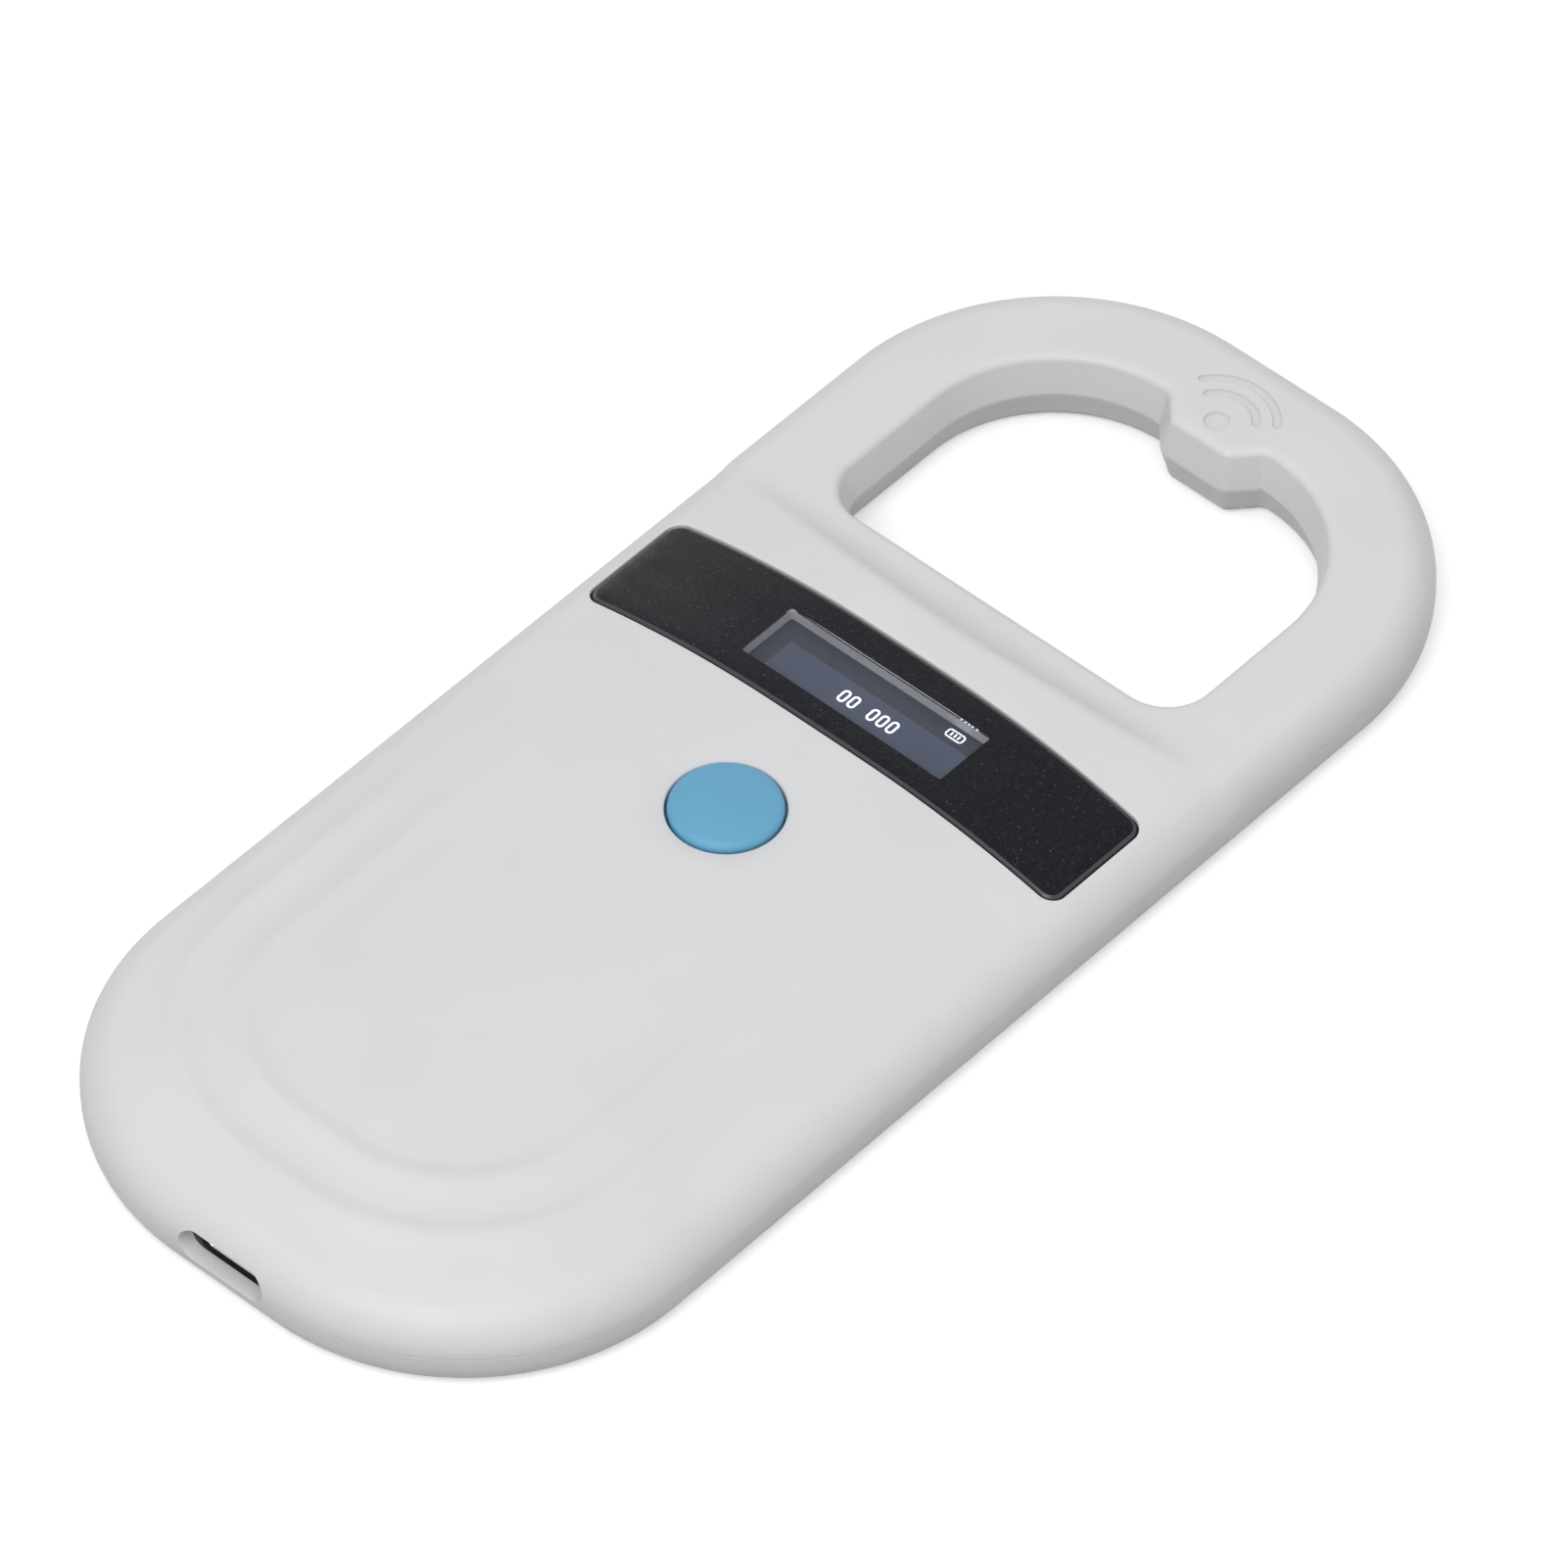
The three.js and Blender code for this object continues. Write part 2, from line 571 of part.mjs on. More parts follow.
function addAntenna() {
  const ring = (inset) => roundedRectangle(
    COIL.halfWidth - inset, COIL.near + inset, COIL.far - inset, COIL.nearCorner - inset, COIL.farCorner - inset, 8,
  );
  const coil = cut(solid(prism(ring(0), COIL.low, COIL.high)), [prism(ring(COIL.width), BELOW, ABOVE)]);
  addPart('antenna_coil', fromSolid(coil), MATERIALS.copper);
  const carrier = cut(solid(prism(ring(-0.5), WALL.base + GAP, COIL.low - GAP)), [
    prism(ring(COIL.width + 0.5), BELOW, ABOVE),
  ]);
  addPart('coil_carrier', fromSolid(carrier), MATERIALS.connectorWhite);

  const leadRadius = 0.35;
  const leadZ = BOARD.low - GAP - leadRadius;
  for (const [index, side] of [-1, 1].entries()) {
    const route = [[side * 3, COIL.near - 0.3, leadZ - 0.6], [side * 3.6, 27, leadZ - 0.2], [side * 4, 21, leadZ]];
    addPart(`antenna_lead_${index + 1}`, wire(route, leadRadius), MATERIALS.copper);
  }
}

function addScrews() {
  const { headRadius, headHeight, shankRadius, length, low } = SCREW;
  const shoulder = low + headHeight;
  const tip = low + length;
  const slot = { half: 1.2, halfWidth: 0.25, depth: 0.6 };
  SCREW_PLACES.forEach(([x, y], index) => {
    const screw = turned([
      [0, low], [headRadius - 0.3, low], [headRadius, low + 0.3], [headRadius, shoulder],
      [shankRadius, shoulder], [shankRadius, tip - 0.8], [0, tip],
    ], x, y, 20);
    const cross = [
      box(slot.half, y - slot.halfWidth, y + slot.halfWidth, BELOW, low + slot.depth, x),
      box(slot.halfWidth, y - slot.half, y + slot.half, BELOW, low + slot.depth, x),
    ];
    addPart(`case_screw_${index + 1}`, fromSolid(cut(solid(screw), cross)), MATERIALS.metal);
  });
}

addTopShell();
addBottomShell();
addPanel();
addDisplay();
addButton();
addSwitch();
addBoard();
addBuzzer();
addSocket();
addBattery();
addAntenna();
addScrews();

export default scanner;
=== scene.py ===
"""A hand-held microchip scanner: its visible pieces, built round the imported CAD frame.

Lengths in the mesh code are millimetres in the CAD's own axes: +Z up, +Y to the reading loop,
-Y to the charging socket. Shape.piece() turns them into metres.
"""

import math

import bmesh
import bpy
import numpy as np
from mathutils import Matrix, Vector, geometry, kdtree


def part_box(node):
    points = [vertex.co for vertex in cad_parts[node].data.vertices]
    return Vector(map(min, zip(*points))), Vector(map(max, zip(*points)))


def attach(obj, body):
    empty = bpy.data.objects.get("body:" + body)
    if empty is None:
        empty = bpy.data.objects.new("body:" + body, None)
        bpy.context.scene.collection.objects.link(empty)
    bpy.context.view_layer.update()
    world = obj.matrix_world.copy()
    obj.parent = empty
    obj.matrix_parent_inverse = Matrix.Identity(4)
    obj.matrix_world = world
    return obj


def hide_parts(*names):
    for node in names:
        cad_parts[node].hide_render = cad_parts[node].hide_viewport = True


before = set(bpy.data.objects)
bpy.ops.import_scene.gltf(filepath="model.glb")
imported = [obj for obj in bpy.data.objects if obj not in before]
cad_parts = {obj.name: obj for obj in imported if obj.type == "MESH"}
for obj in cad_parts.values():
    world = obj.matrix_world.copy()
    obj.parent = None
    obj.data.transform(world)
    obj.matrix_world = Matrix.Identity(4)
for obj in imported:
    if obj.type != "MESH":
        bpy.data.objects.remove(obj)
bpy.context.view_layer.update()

MM = 0.001


def node_box(node):
    """Lowest and highest corner of a CAD node, in millimetres."""
    low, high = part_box(node)
    return np.array(low) / MM, np.array(high) / MM


# ---- driving dimensions

SHELL_HIGH = node_box("top_shell")[1]
BASE_HIGH = node_box("bottom_shell")[1]
HALF_WIDTH, HALF_LENGTH = SHELL_HIGH[0], SHELL_HIGH[1]
BODY_TOP = SHELL_HIGH[2]
SEAM = 4.5
SEAM_GAP = 0.08
TOP_RIM, BASE_RIM = SEAM + SEAM_GAP / 2, SEAM - SEAM_GAP / 2
CORNER = 30.5
LOOP_TOP = 9.5
EDGE_INSET = 4.2                  # how far the top edge rounds in
BASE_INSET, BASE_RISE = 2.1, 3.6  # the same at the underside
SIDE_WALL, TOP_WALL, BASE_WALL, HOLE_WALL = 3.0, 1.5, 1.8, 2.2
SEAM_CHAMFER = 0.05

CORE_X, CORE_Y = HALF_WIDTH - CORNER, HALF_LENGTH - CORNER
CROWN = (BODY_TOP - LOOP_TOP) / (CORNER - EDGE_INSET) ** 2

CREST_MID, CREST_RISE, CREST_REACH, FOOT = 29.3, 2.5, 30.0, 35.4
CREST_SOFT = 0.10                 # share of the scoop over which its crest is rounded off

HOLE_HALF, HOLE_NEAR, HOLE_FAR = 26.0, 36.6, 74.5
HOLE_NEAR_CORNER, HOLE_FAR_CORNER = 6.0, 18.2
TAB_TIP, TAB_TIP_HALF, TAB_ROOT_HALF = 71.2, 4.0, 7.0
TAB_ROOT_FILLET, TAB_TIP_FILLET = 1.6, 1.2
HUB_TIP_FILLET = 2.8              # the tab's tip corners on the hidden side of the wall
HOLE_LEAN = 1.2                   # the hole's wall leans in by this much at the seam
HOLE_FILLET = 1.0
HOLE_BASE_INSET, HOLE_BASE_ROUND, HOLE_BASE_FLARE = 0.4, 1.5, 1.2

PANEL_HALF, PANEL_NEAR, PANEL_FAR, PANEL_CORNER = 33.9, 7.8, 22.65, 1.7
PANEL_NEAR_BOW, PANEL_FAR_BOW = 0.5, 0.85
PANEL_THICKNESS, ADHESIVE_SHY = 0.5, 0.04
RECESS_CLEAR = 3.2                # the recess stays this far inside the case's outline
RECESS_GAP, RECESS_DEPTH, RECESS_ROUND = 0.3, 0.85, 0.12
WINDOW_LOW, WINDOW_HIGH = node_box("display_window")
WINDOW_GAP, WINDOW_CORNER, LENS_GAP = 0.2, 0.35, 0.03
COLLAR = 0.9                      # width of the collar round the window, under the panel
OLED_TOP = node_box("oled_display")[1][2]
CLEAR = 0.02                      # the hair's breadth between pieces that rest on each other

BUTTON_LOW, BUTTON_HIGH = node_box("scan_button")
BUTTON_Y = (BUTTON_LOW[1] + BUTTON_HIGH[1]) / 2
BUTTON_HOLE, BUTTON_HOLE_ROUND = 6.7, 0.22
DISH_WIDTH, DISH_DEPTH = 2.4, 0.28

PORT_HALF, PORT_HALF_HEIGHT, PORT_Z = 5.9, 1.9, 4.7

# ---- plan outlines


def arc(cx, cy, radius, start, stop, steps):
    angles = np.radians(np.linspace(start, stop, steps + 1))
    return np.c_[cx + radius * np.cos(angles), cy + radius * np.sin(angles)]


def circle(cx, cy, radius, steps):
    return arc(cx, cy, radius, 0, 360, steps)[:-1]


def bend(start, stop, steps):
    """Cosine and sine at evenly spaced angles, in degrees."""
    angles = (math.radians(turn) for turn in np.linspace(start, stop, steps))
    return [(math.cos(angle), math.sin(angle)) for angle in angles]


def rounded_polygon(corners, radii, inset=0.0, spacing=1.2, turn=4.5):
    """A counter-clockwise outline with rounded corners, moved in by inset. The number of
    points doesn't depend on inset, so that two such rings can be joined."""
    corners = np.array(corners, float)
    count = len(corners)
    ahead = np.roll(corners, -1, axis=0) - corners
    lengths = np.linalg.norm(ahead, axis=1)
    ahead /= lengths[:, None]
    arcs, starts, ends = [], [], []
    for i in range(count):
        before, after = ahead[i - 1], ahead[i]
        cross = before[0] * after[1] - before[1] * after[0]
        turned_by = math.atan2(cross, before @ after)
        side = 1 if turned_by > 0 else -1
        # The centre of the corner's circle is the same for every inset.
        radius = radii[i]
        reach = radius * math.tan(abs(turned_by) / 2)
        start = corners[i] - before * reach
        centre = start + side * radius * np.array([-before[1], before[0]])
        first = math.degrees(math.atan2(*(start - centre)[::-1]))
        grown = radius - side * inset
        swing = math.degrees(turned_by)
        steps = max(3, math.ceil(abs(swing) / turn))
        arcs.append(arc(*centre, grown, first, first + swing, steps))
        starts.append(start)
        ends.append(corners[i] + after * reach)
    points = []
    for i in range(count):
        points.extend(arcs[i])
        nxt = (i + 1) % count
        gap = np.linalg.norm(starts[nxt] - ends[i])
        steps = max(1, math.ceil(gap / spacing))
        a, b = arcs[i][-1], arcs[nxt][0]
        points.extend(a + (b - a) * k / steps for k in range(1, steps))
        if np.linalg.norm(b - a) < 1e-6:
            points.pop()
    return np.array(points)


def rectangle(half, near, far, corner, inset=0.0, x=0.0, **how):
    corners = [(x - half, near), (x + half, near), (x + half, far), (x - half, far)]
    return rounded_polygon(corners, [corner] * 4, inset, **how)


def case_outline(inset):
    return rectangle(HALF_WIDTH, -HALF_LENGTH, HALF_LENGTH, CORNER, inset, turn=2.0)


def hole_outline(inset, tip=TAB_TIP_FILLET):
    corners = [
        (-HOLE_HALF, HOLE_NEAR), (HOLE_HALF, HOLE_NEAR), (HOLE_HALF, HOLE_FAR),
        (TAB_ROOT_HALF, HOLE_FAR), (TAB_TIP_HALF, TAB_TIP), (-TAB_TIP_HALF, TAB_TIP),
        (-TAB_ROOT_HALF, HOLE_FAR), (-HOLE_HALF, HOLE_FAR),
    ]
    near, far, root = HOLE_NEAR_CORNER, HOLE_FAR_CORNER, TAB_ROOT_FILLET
    return rounded_polygon(corners, [near, near, far, root, tip, tip, root, far], inset, turn=3.0)


def panel_outline(inset):
    """The display panel's outline: a rounded rectangle bowed towards the loop."""
    plan = rectangle(PANEL_HALF, PANEL_NEAR, PANEL_FAR, PANEL_CORNER, inset, turn=6.0)
    across = (plan[:, 1] - PANEL_NEAR) / (PANEL_FAR - PANEL_NEAR)
    bow = PANEL_NEAR_BOW + (PANEL_FAR_BOW - PANEL_NEAR_BOW) * across
    plan[:, 1] += bow * (1 - (plan[:, 0] / PANEL_HALF) ** 2)
    return plan


def recess_outline(grow):
    """The outline of the panel's recess."""
    return panel_outline(-RECESS_GAP - grow)


def window_outline(inset):
    return rectangle(
        WINDOW_HIGH[0] + WINDOW_GAP, WINDOW_LOW[1] - WINDOW_GAP, WINDOW_HIGH[1] + WINDOW_GAP,
        WINDOW_CORNER, inset, turn=30.0, spacing=2.0,
    )


# ---- case top's surface


def smooth(t):
    t = np.clip(t, 0, 1)
    return t * t * (3 - 2 * t)


def crown(x, y):
    across = np.maximum(np.abs(x) - CORE_X, 0)
    along = np.maximum(-y - CORE_Y, 0)
    return BODY_TOP - CROWN * (across ** 2 + along ** 2)


# The two U-shaped lips round the near end: half width, nearest y, corner radius, and the
# y where each has faded out and where it has its full height.
LIPS = [(22.0, -69.75, 17.8, -4.0, -42.0), (28.6, -76.85, 24.5, -6.0, -44.0)]
LIP_SHIFT = -1.0                  # the lips' middle, in X
LIP_HEIGHT, LIP_IN, LIP_OUT = 0.58, 2.6, 2.4
LIP_DROP = 0.75                   # share of the height lost over the outer face; the tail loses the rest
LIP_TAIL = 2.6


def lips(x, y):
    total = np.zeros(np.shape(x))
    for half, near, corner, faded, full in LIPS:
        across = np.abs(x - LIP_SHIFT) - (half - corner)
        along = near + corner - y
        outside = np.hypot(np.maximum(across, 0), np.maximum(along, 0))
        s = outside + np.minimum(np.maximum(across, along), 0) - corner
        rise = smooth(s / LIP_IN + 1)
        drop = LIP_DROP * smooth(s / LIP_OUT) + (1 - LIP_DROP) * smooth((s - LIP_OUT * 0.6) / LIP_TAIL)
        total += LIP_HEIGHT * (rise - drop) * smooth((faded - y) / (faded - full))
    return total


def dish(x, y):
    r = np.hypot(x, y - BUTTON_Y) - BUTTON_HOLE
    return -DISH_DEPTH * (1 - smooth(r / DISH_WIDTH))


def crest_y(x):
    return CREST_MID + CREST_RISE * (x / CREST_REACH) ** 2


def below_crown(depth):
    return lambda x, y: crown(x, y) - depth


def scooped(x, y, body):
    """The body's height, brought down to the loop's over the scoop."""
    crest = crest_y(x)
    u = (y - crest) / (FOOT - crest)
    soft = np.clip(u + CREST_SOFT, 0, 2 * CREST_SOFT) ** 2 / (4 * CREST_SOFT)
    down = np.clip(np.where(u > CREST_SOFT, u, soft), 0, 1)
    return LOOP_TOP + (body - LOOP_TOP) * (1 - down) ** 2


def top_plain(x, y):
    return scooped(x, y, crown(x, y))


def top_height(x, y):
    return scooped(x, y, crown(x, y) + lips(x, y) + dish(x, y))


def top_skin(x, y):
    """The top face with its rounded edge."""
    across, along = np.abs(x) - CORE_X, np.abs(y) - CORE_Y
    outside = np.hypot(np.maximum(across, 0), np.maximum(along, 0))
    inset = CORNER - outside - np.minimum(np.maximum(across, along), 0)
    turn = 1 - np.clip(inset / EDGE_INSET, 0, 1)
    return SEAM + (top_height(x, y) - SEAM) * np.sqrt(1 - turn ** 2)


# ---- meshes


def inside(points, outline):
    """Which points lie inside a closed outline, by the even-odd rule."""
    x, y = points[:, 0], points[:, 1]
    result = np.zeros(len(points), bool)
    for (ax, ay), (bx, by) in zip(outline, np.roll(outline, -1, axis=0)):
        if ay != by:
            crosses = (ay > y) != (by > y)
            result ^= crosses & (x < (bx - ax) * (y - ay) / (by - ay) + ax)
    return result


def level(height, plan):
    """A ring or a set of plan points lifted to a height, given as a number or a function."""
    z = height(plan[:, 0], plan[:, 1]) if callable(height) else np.full(len(plan), float(height))
    return np.c_[plan, z]


def upright(y, outline):
    """A ring from an outline drawn in X and Z, at a place along Y."""
    return np.c_[outline[:, 0], np.full(len(outline), y), outline[:, 1]]


class Shape:
    """A closed mesh, gathered from bands between rings and sheets over a plan."""

    def __init__(self):
        self.points, self.faces, self.slots = [], [], []

    def add(self, points, faces, slot):
        base = len(self.points)
        self.points.extend(np.asarray(points, float).tolist())
        self.faces.extend([base + i for i in face] for face in faces)
        self.slots.extend([slot] * len(faces))

    def band(self, *rings, slot=0):
        """Quads between each ring and the next. All rings have the same number of points."""
        count = len(rings[0])
        faces = [
            (r * count + i, r * count + (i + 1) % count,
             (r + 1) * count + (i + 1) % count, (r + 1) * count + i)
            for r in range(len(rings) - 1) for i in range(count)
        ]
        self.add(np.vstack(rings), faces, slot)

    def cap(self, ring, slot=0):
        self.add(ring, [range(len(ring))], slot)

    def sheet(self, outer, holes, height, spacing, slot=0, rows_of=()):
        """Triangles over the plan inside outer and outside the holes, at the given height.
        Next to the outer edge the points can be given, as rows_of outlines."""
        rings = [outer, *holes]
        edges, base = [], 0
        for ring in rings:
            edges += [(base + i, base + (i + 1) % len(ring)) for i in range(len(ring))]
            base += len(ring)
        border = np.vstack(rings)
        low, high = outer.min(0), outer.max(0)
        grid = [np.zeros((0, 2))]
        for k, y in enumerate(np.arange(low[1] + 0.4 * spacing, high[1], spacing * 0.866)):
            row = np.arange(low[0] + spacing * (0.25 + 0.5 * (k % 2)), high[0], spacing)
            grid.append(np.c_[row, np.full(len(row), y)])
        grid = np.vstack(grid)
        given = np.vstack([np.zeros((0, 2)), *rows_of])
        given = self.clear_of(given[self.covered(given, rings)], border, 0.3 * spacing)
        grid = self.clear_of(grid[self.covered(grid, [rows_of[-1], *holes] if rows_of else rings)],
                             np.vstack([border, given]), 0.6 * spacing)
        plan = np.vstack([border, given, grid])
        verts, _, faces = geometry.delaunay_2d_cdt(
            [Vector(p) for p in plan], edges, [], 0, 1e-7,
        )[:3]
        flat = np.array([tuple(v) for v in verts])
        faces = np.array([tuple(f) for f in faces])
        faces = faces[self.covered(flat[faces].mean(1), rings)]
        self.add(level(height, flat), faces.tolist(), slot)

    def dimple(self, ring, height, depth):
        self.band(level(height, ring), level(height - depth, ring))
        self.cap(level(height - depth, ring))

    @staticmethod
    def clear_of(points, others, distance):
        tree = kdtree.KDTree(len(others))
        for i, (x, y) in enumerate(others):
            tree.insert((x, y, 0), i)
        tree.balance()
        return np.array([p for p in points if tree.find((p[0], p[1], 0))[2] > distance]).reshape(-1, 2)

    @staticmethod
    def covered(points, rings):
        kept = inside(points, rings[0])
        for hole in rings[1:]:
            kept &= ~inside(points, hole)
        return kept

    def closed(self, *rings, slot=0):
        """A solid between the first ring and the last."""
        self.band(*rings, slot=slot)
        self.cap(rings[0], slot=slot)
        self.cap(rings[-1], slot=slot)
        return self

    def object(self, name):
        """A plain object in metres."""
        mesh = bpy.data.meshes.new(name)
        build = bmesh.new()
        verts = [build.verts.new(p) for p in self.points]
        for face, slot in zip(self.faces, self.slots):
            made = build.faces.new([verts[i] for i in face])
            made.material_index = slot
        bmesh.ops.remove_doubles(build, verts=build.verts, dist=5e-4)
        bmesh.ops.dissolve_degenerate(build, edges=build.edges, dist=1e-4)
        bmesh.ops.recalc_face_normals(build, faces=build.faces)
        bmesh.ops.scale(build, verts=build.verts, vec=(MM, MM, MM))
        build.to_mesh(mesh)
        build.free()
        made = bpy.data.objects.new(name, mesh)
        bpy.context.scene.collection.objects.link(made)
        return made

    def piece(self, name, materials, slot_name, *stands_for, body="case", sharp=32.0, cutters=()):
        """The finished object, riding on its body."""
        made = self.object(name)
        for material in [materials] if isinstance(materials, bpy.types.Material) else materials:
            made.data.materials.append(material)
        for cutter in cutters:
            cut(made, cutter)
        finish_piece(made, body, stands_for, sharp)
        return made


def cut(target, cutter):
    """Takes the cutter's solid out of the target, and deletes the cutter."""
    modifier = target.modifiers.new("cut", "BOOLEAN")
    modifier.operation, modifier.object, modifier.solver = "DIFFERENCE", cutter, "EXACT"
    bpy.context.view_layer.update()
    result = bpy.data.meshes.new_from_object(
        target.evaluated_get(bpy.context.evaluated_depsgraph_get())
    )
    target.modifiers.clear()
    target.data = result
    bpy.data.objects.remove(cutter)


def finish_piece(made, body, stands_for, sharp):
    mesh = made.data
    build = bmesh.new()
    build.from_mesh(mesh)
    bmesh.ops.remove_doubles(build, verts=build.verts, dist=5e-7)
    bmesh.ops.dissolve_degenerate(build, edges=build.edges, dist=1e-7)
    open_edges = sum(not e.is_manifold for e in build.edges)
    volume = build.calc_volume(signed=True)
    build.to_mesh(mesh)
    build.free()
    mesh.name = made.name
    mesh.polygons.foreach_set("use_smooth", [True] * len(mesh.polygons))
    mesh.set_sharp_from_angle(angle=math.radians(sharp))
    if open_edges or volume <= 0:
        print(f"CHECK {made.name}: {open_edges} open edges, volume {volume * 1e9:.1f} mm3")
    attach(made, body)
    if stands_for:
        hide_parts(*stands_for)


# ---- materials


def tree_of(name):
    material = bpy.data.materials.new(name)
    material.use_nodes = True
    tree = material.node_tree
    tree.nodes.clear()
    output = add_node(tree, "OutputMaterial")
    return material, tree, output, add_node(tree, "TexCoord").outputs["Object"]


def feed(tree, socket, value):
    """Sets a socket to a value, or links it where the value is another node's output."""
    if isinstance(value, bpy.types.NodeSocket):
        tree.links.new(value, socket)
    else:
        socket.default_value = value


def add_node(tree, kind, **inputs):
    node = tree.nodes.new("ShaderNode" + kind)
    for key, value in inputs.items():
        feed(tree, node.inputs[key.replace("_", " ")], value)
    return node


def noise(tree, where, size, detail=3.0):
    """Noise with features of about the given size in millimetres."""
    return add_node(tree, "TexNoise", Scale=1 / (size * MM), Detail=detail, Vector=where).outputs["Fac"]


def ramp(tree, value, *stops):
    """A colour ramp through (position, colour) stops."""
    node = add_node(tree, "ValToRGB", Fac=value)
    elements = node.color_ramp.elements
    while len(elements) < len(stops):
        elements.new(0.5)
    for element, (position, colour) in zip(elements, stops):
        element.position = position
        element.color = (*colour, 1)
    return node.outputs["Color"]


def span(tree, value, low, high, start, stop):
    """The value's start..stop range moved to low..high, and held there outside it."""
    limits = {"From Min": start, "From Max": stop, "To Min": low, "To Max": high}
    return add_node(tree, "MapRange", Value=value, **limits).outputs["Result"]


def maths(tree, operation, a, b):
    node = add_node(tree, "Math")
    node.operation = operation
    for socket, value in zip(node.inputs, (a, b)):
        feed(tree, socket, value)
    return node.outputs[0]


def uneven(tree, value, low, high):
    """Most of a noise's spread, moved to low..high."""
    return span(tree, value, low, high, 0.3, 0.7)


def bump(tree, height, distance):
    """A bump of the given depth in millimetres."""
    return add_node(tree, "Bump", Distance=distance * MM, Strength=1.0, Height=height).outputs["Normal"]


def principled(tree, output, **values):
    node = add_node(tree, "BsdfPrincipled", **values)
    tree.links.new(node.outputs[0], output.inputs["Surface"])


def shade(colour, factor):
    return tuple(min(1.0, c * factor) for c in colour)


def moulded(name, colour, roughness=(0.42, 0.52), grain=0.22, depth=0.006, mottle=0.015, **extra):
    """Moulded plastic: a fine even grain, faint mottling and a slightly uneven gloss."""
    material, tree, output, where = tree_of(name)
    cloud = noise(tree, where, 14.0, 2.0)
    principled(
        tree, output,
        Base_Color=ramp(tree, cloud, (0.3, shade(colour, 1 - mottle)), (0.7, shade(colour, 1 + mottle))),
        Roughness=uneven(tree, noise(tree, where, 6.0, 4.0), *roughness),
        Normal=bump(tree, noise(tree, where, grain, 2.0), depth),
        **extra,
    )
    return material


def metal(name, colour, roughness=(0.22, 0.38), scratch=0.4, depth=0.004):
    """Plated or drawn metal with fine streaks along Y."""
    material, tree, output, where = tree_of(name)
    mapping = add_node(tree, "Mapping", Scale=(1, 0.08, 1), Vector=where)
    streaks = noise(tree, mapping.outputs[0], scratch, 4.0)
    principled(
        tree, output,
        Base_Color=ramp(tree, noise(tree, where, 3.0), (0.3, shade(colour, 0.92)), (0.7, colour)),
        Metallic=1.0,
        Roughness=uneven(tree, streaks, *roughness),
        Normal=bump(tree, streaks, depth),
    )
    return material


CASE_GREY = (0.650, 0.650, 0.662)
BUTTON_BLUE = (0.118, 0.355, 0.540)


def panel_material():
    """Near-black satin film with fine pale flecks."""
    material, tree, output, where = tree_of("panel_film")
    cells = add_node(tree, "TexVoronoi", Scale=1 / (0.45 * MM), Vector=where)
    pick = add_node(tree, "SeparateColor", Color=cells.outputs["Color"])
    near = span(tree, cells.outputs["Distance"], 1.0, 0.0, 0.10, 0.36)
    chosen = maths(tree, "POWER", span(tree, pick.outputs[0], 0.0, 0.75, 0.35, 1.0), 3.0)
    fleck = maths(tree, "MULTIPLY", near, chosen)
    dust = span(tree, noise(tree, where, 0.35, 2.0), 0.0, 0.07, 0.45, 0.75)
    amount = maths(tree, "MAXIMUM", fleck, dust)
    principled(
        tree, output,
        Base_Color=ramp(tree, amount, (0.0, (0.0052, 0.0056, 0.0086)), (1.0, (0.150, 0.158, 0.182))),
        Roughness=uneven(tree, noise(tree, where, 5.0, 4.0), 0.40, 0.50),
        Normal=bump(tree, noise(tree, where, 0.25, 2.0), 0.008), Specular_IOR_Level=0.16,
    )
    return material


def lens_material():
    """Clear, slightly smoky plastic that shows what is behind it."""
    material, tree, output, where = tree_of("window_lens")
    clear = add_node(tree, "BsdfTransparent")
    smoke = ramp(tree, noise(tree, where, 8.0), (0.3, (0.93, 0.935, 0.95)), (0.7, (0.95, 0.955, 0.97)))
    feed(tree, clear.inputs["Color"], smoke)
    gloss = add_node(tree, "BsdfGlossy", Roughness=0.12)
    fresnel = add_node(tree, "Fresnel", IOR=1.20)
    mix = add_node(tree, "MixShader")
    for socket, source in zip(mix.inputs, (fresnel, clear, gloss)):
        feed(tree, socket, source.outputs[0])
    tree.links.new(mix.outputs[0], output.inputs["Surface"])
    return material


def traced_material(name, colour, trace, size):
    """Glossy coating over copper traces that run square to one another."""
    material, tree, output, where = tree_of(name)
    cells = add_node(tree, "TexVoronoi", Scale=1 / (size * MM), Vector=where)
    cells.distance, cells.feature = "MANHATTAN", "F1"
    bands = maths(tree, "PINGPONG", maths(tree, "MULTIPLY", cells.outputs["Distance"], 3.0), 0.5)
    line = span(tree, bands, 0.0, 1.0, 0.20, 0.28)
    principled(
        tree, output, Base_Color=ramp(tree, line, (0.0, colour), (1.0, trace)),
        Roughness=uneven(tree, noise(tree, where, 3.0), 0.22, 0.34), Normal=bump(tree, line, 0.02),
    )
    return material


def glow_material(name, colour, strength):
    """An area of the display, slightly uneven: the lit figures glow; with no glow it is the painted reflection
    on the glass.
    """
    material, tree, output, where = tree_of(name)
    tone = ramp(tree, noise(tree, where, 2.5, 2.0), (0.3, shade(colour, 0.95)), (0.7, colour))
    principled(
        tree, output, Base_Color=tone, Roughness=0.3, Specular_IOR_Level=0.15,
        Emission_Color=tone, Emission_Strength=strength,
    )
    return material


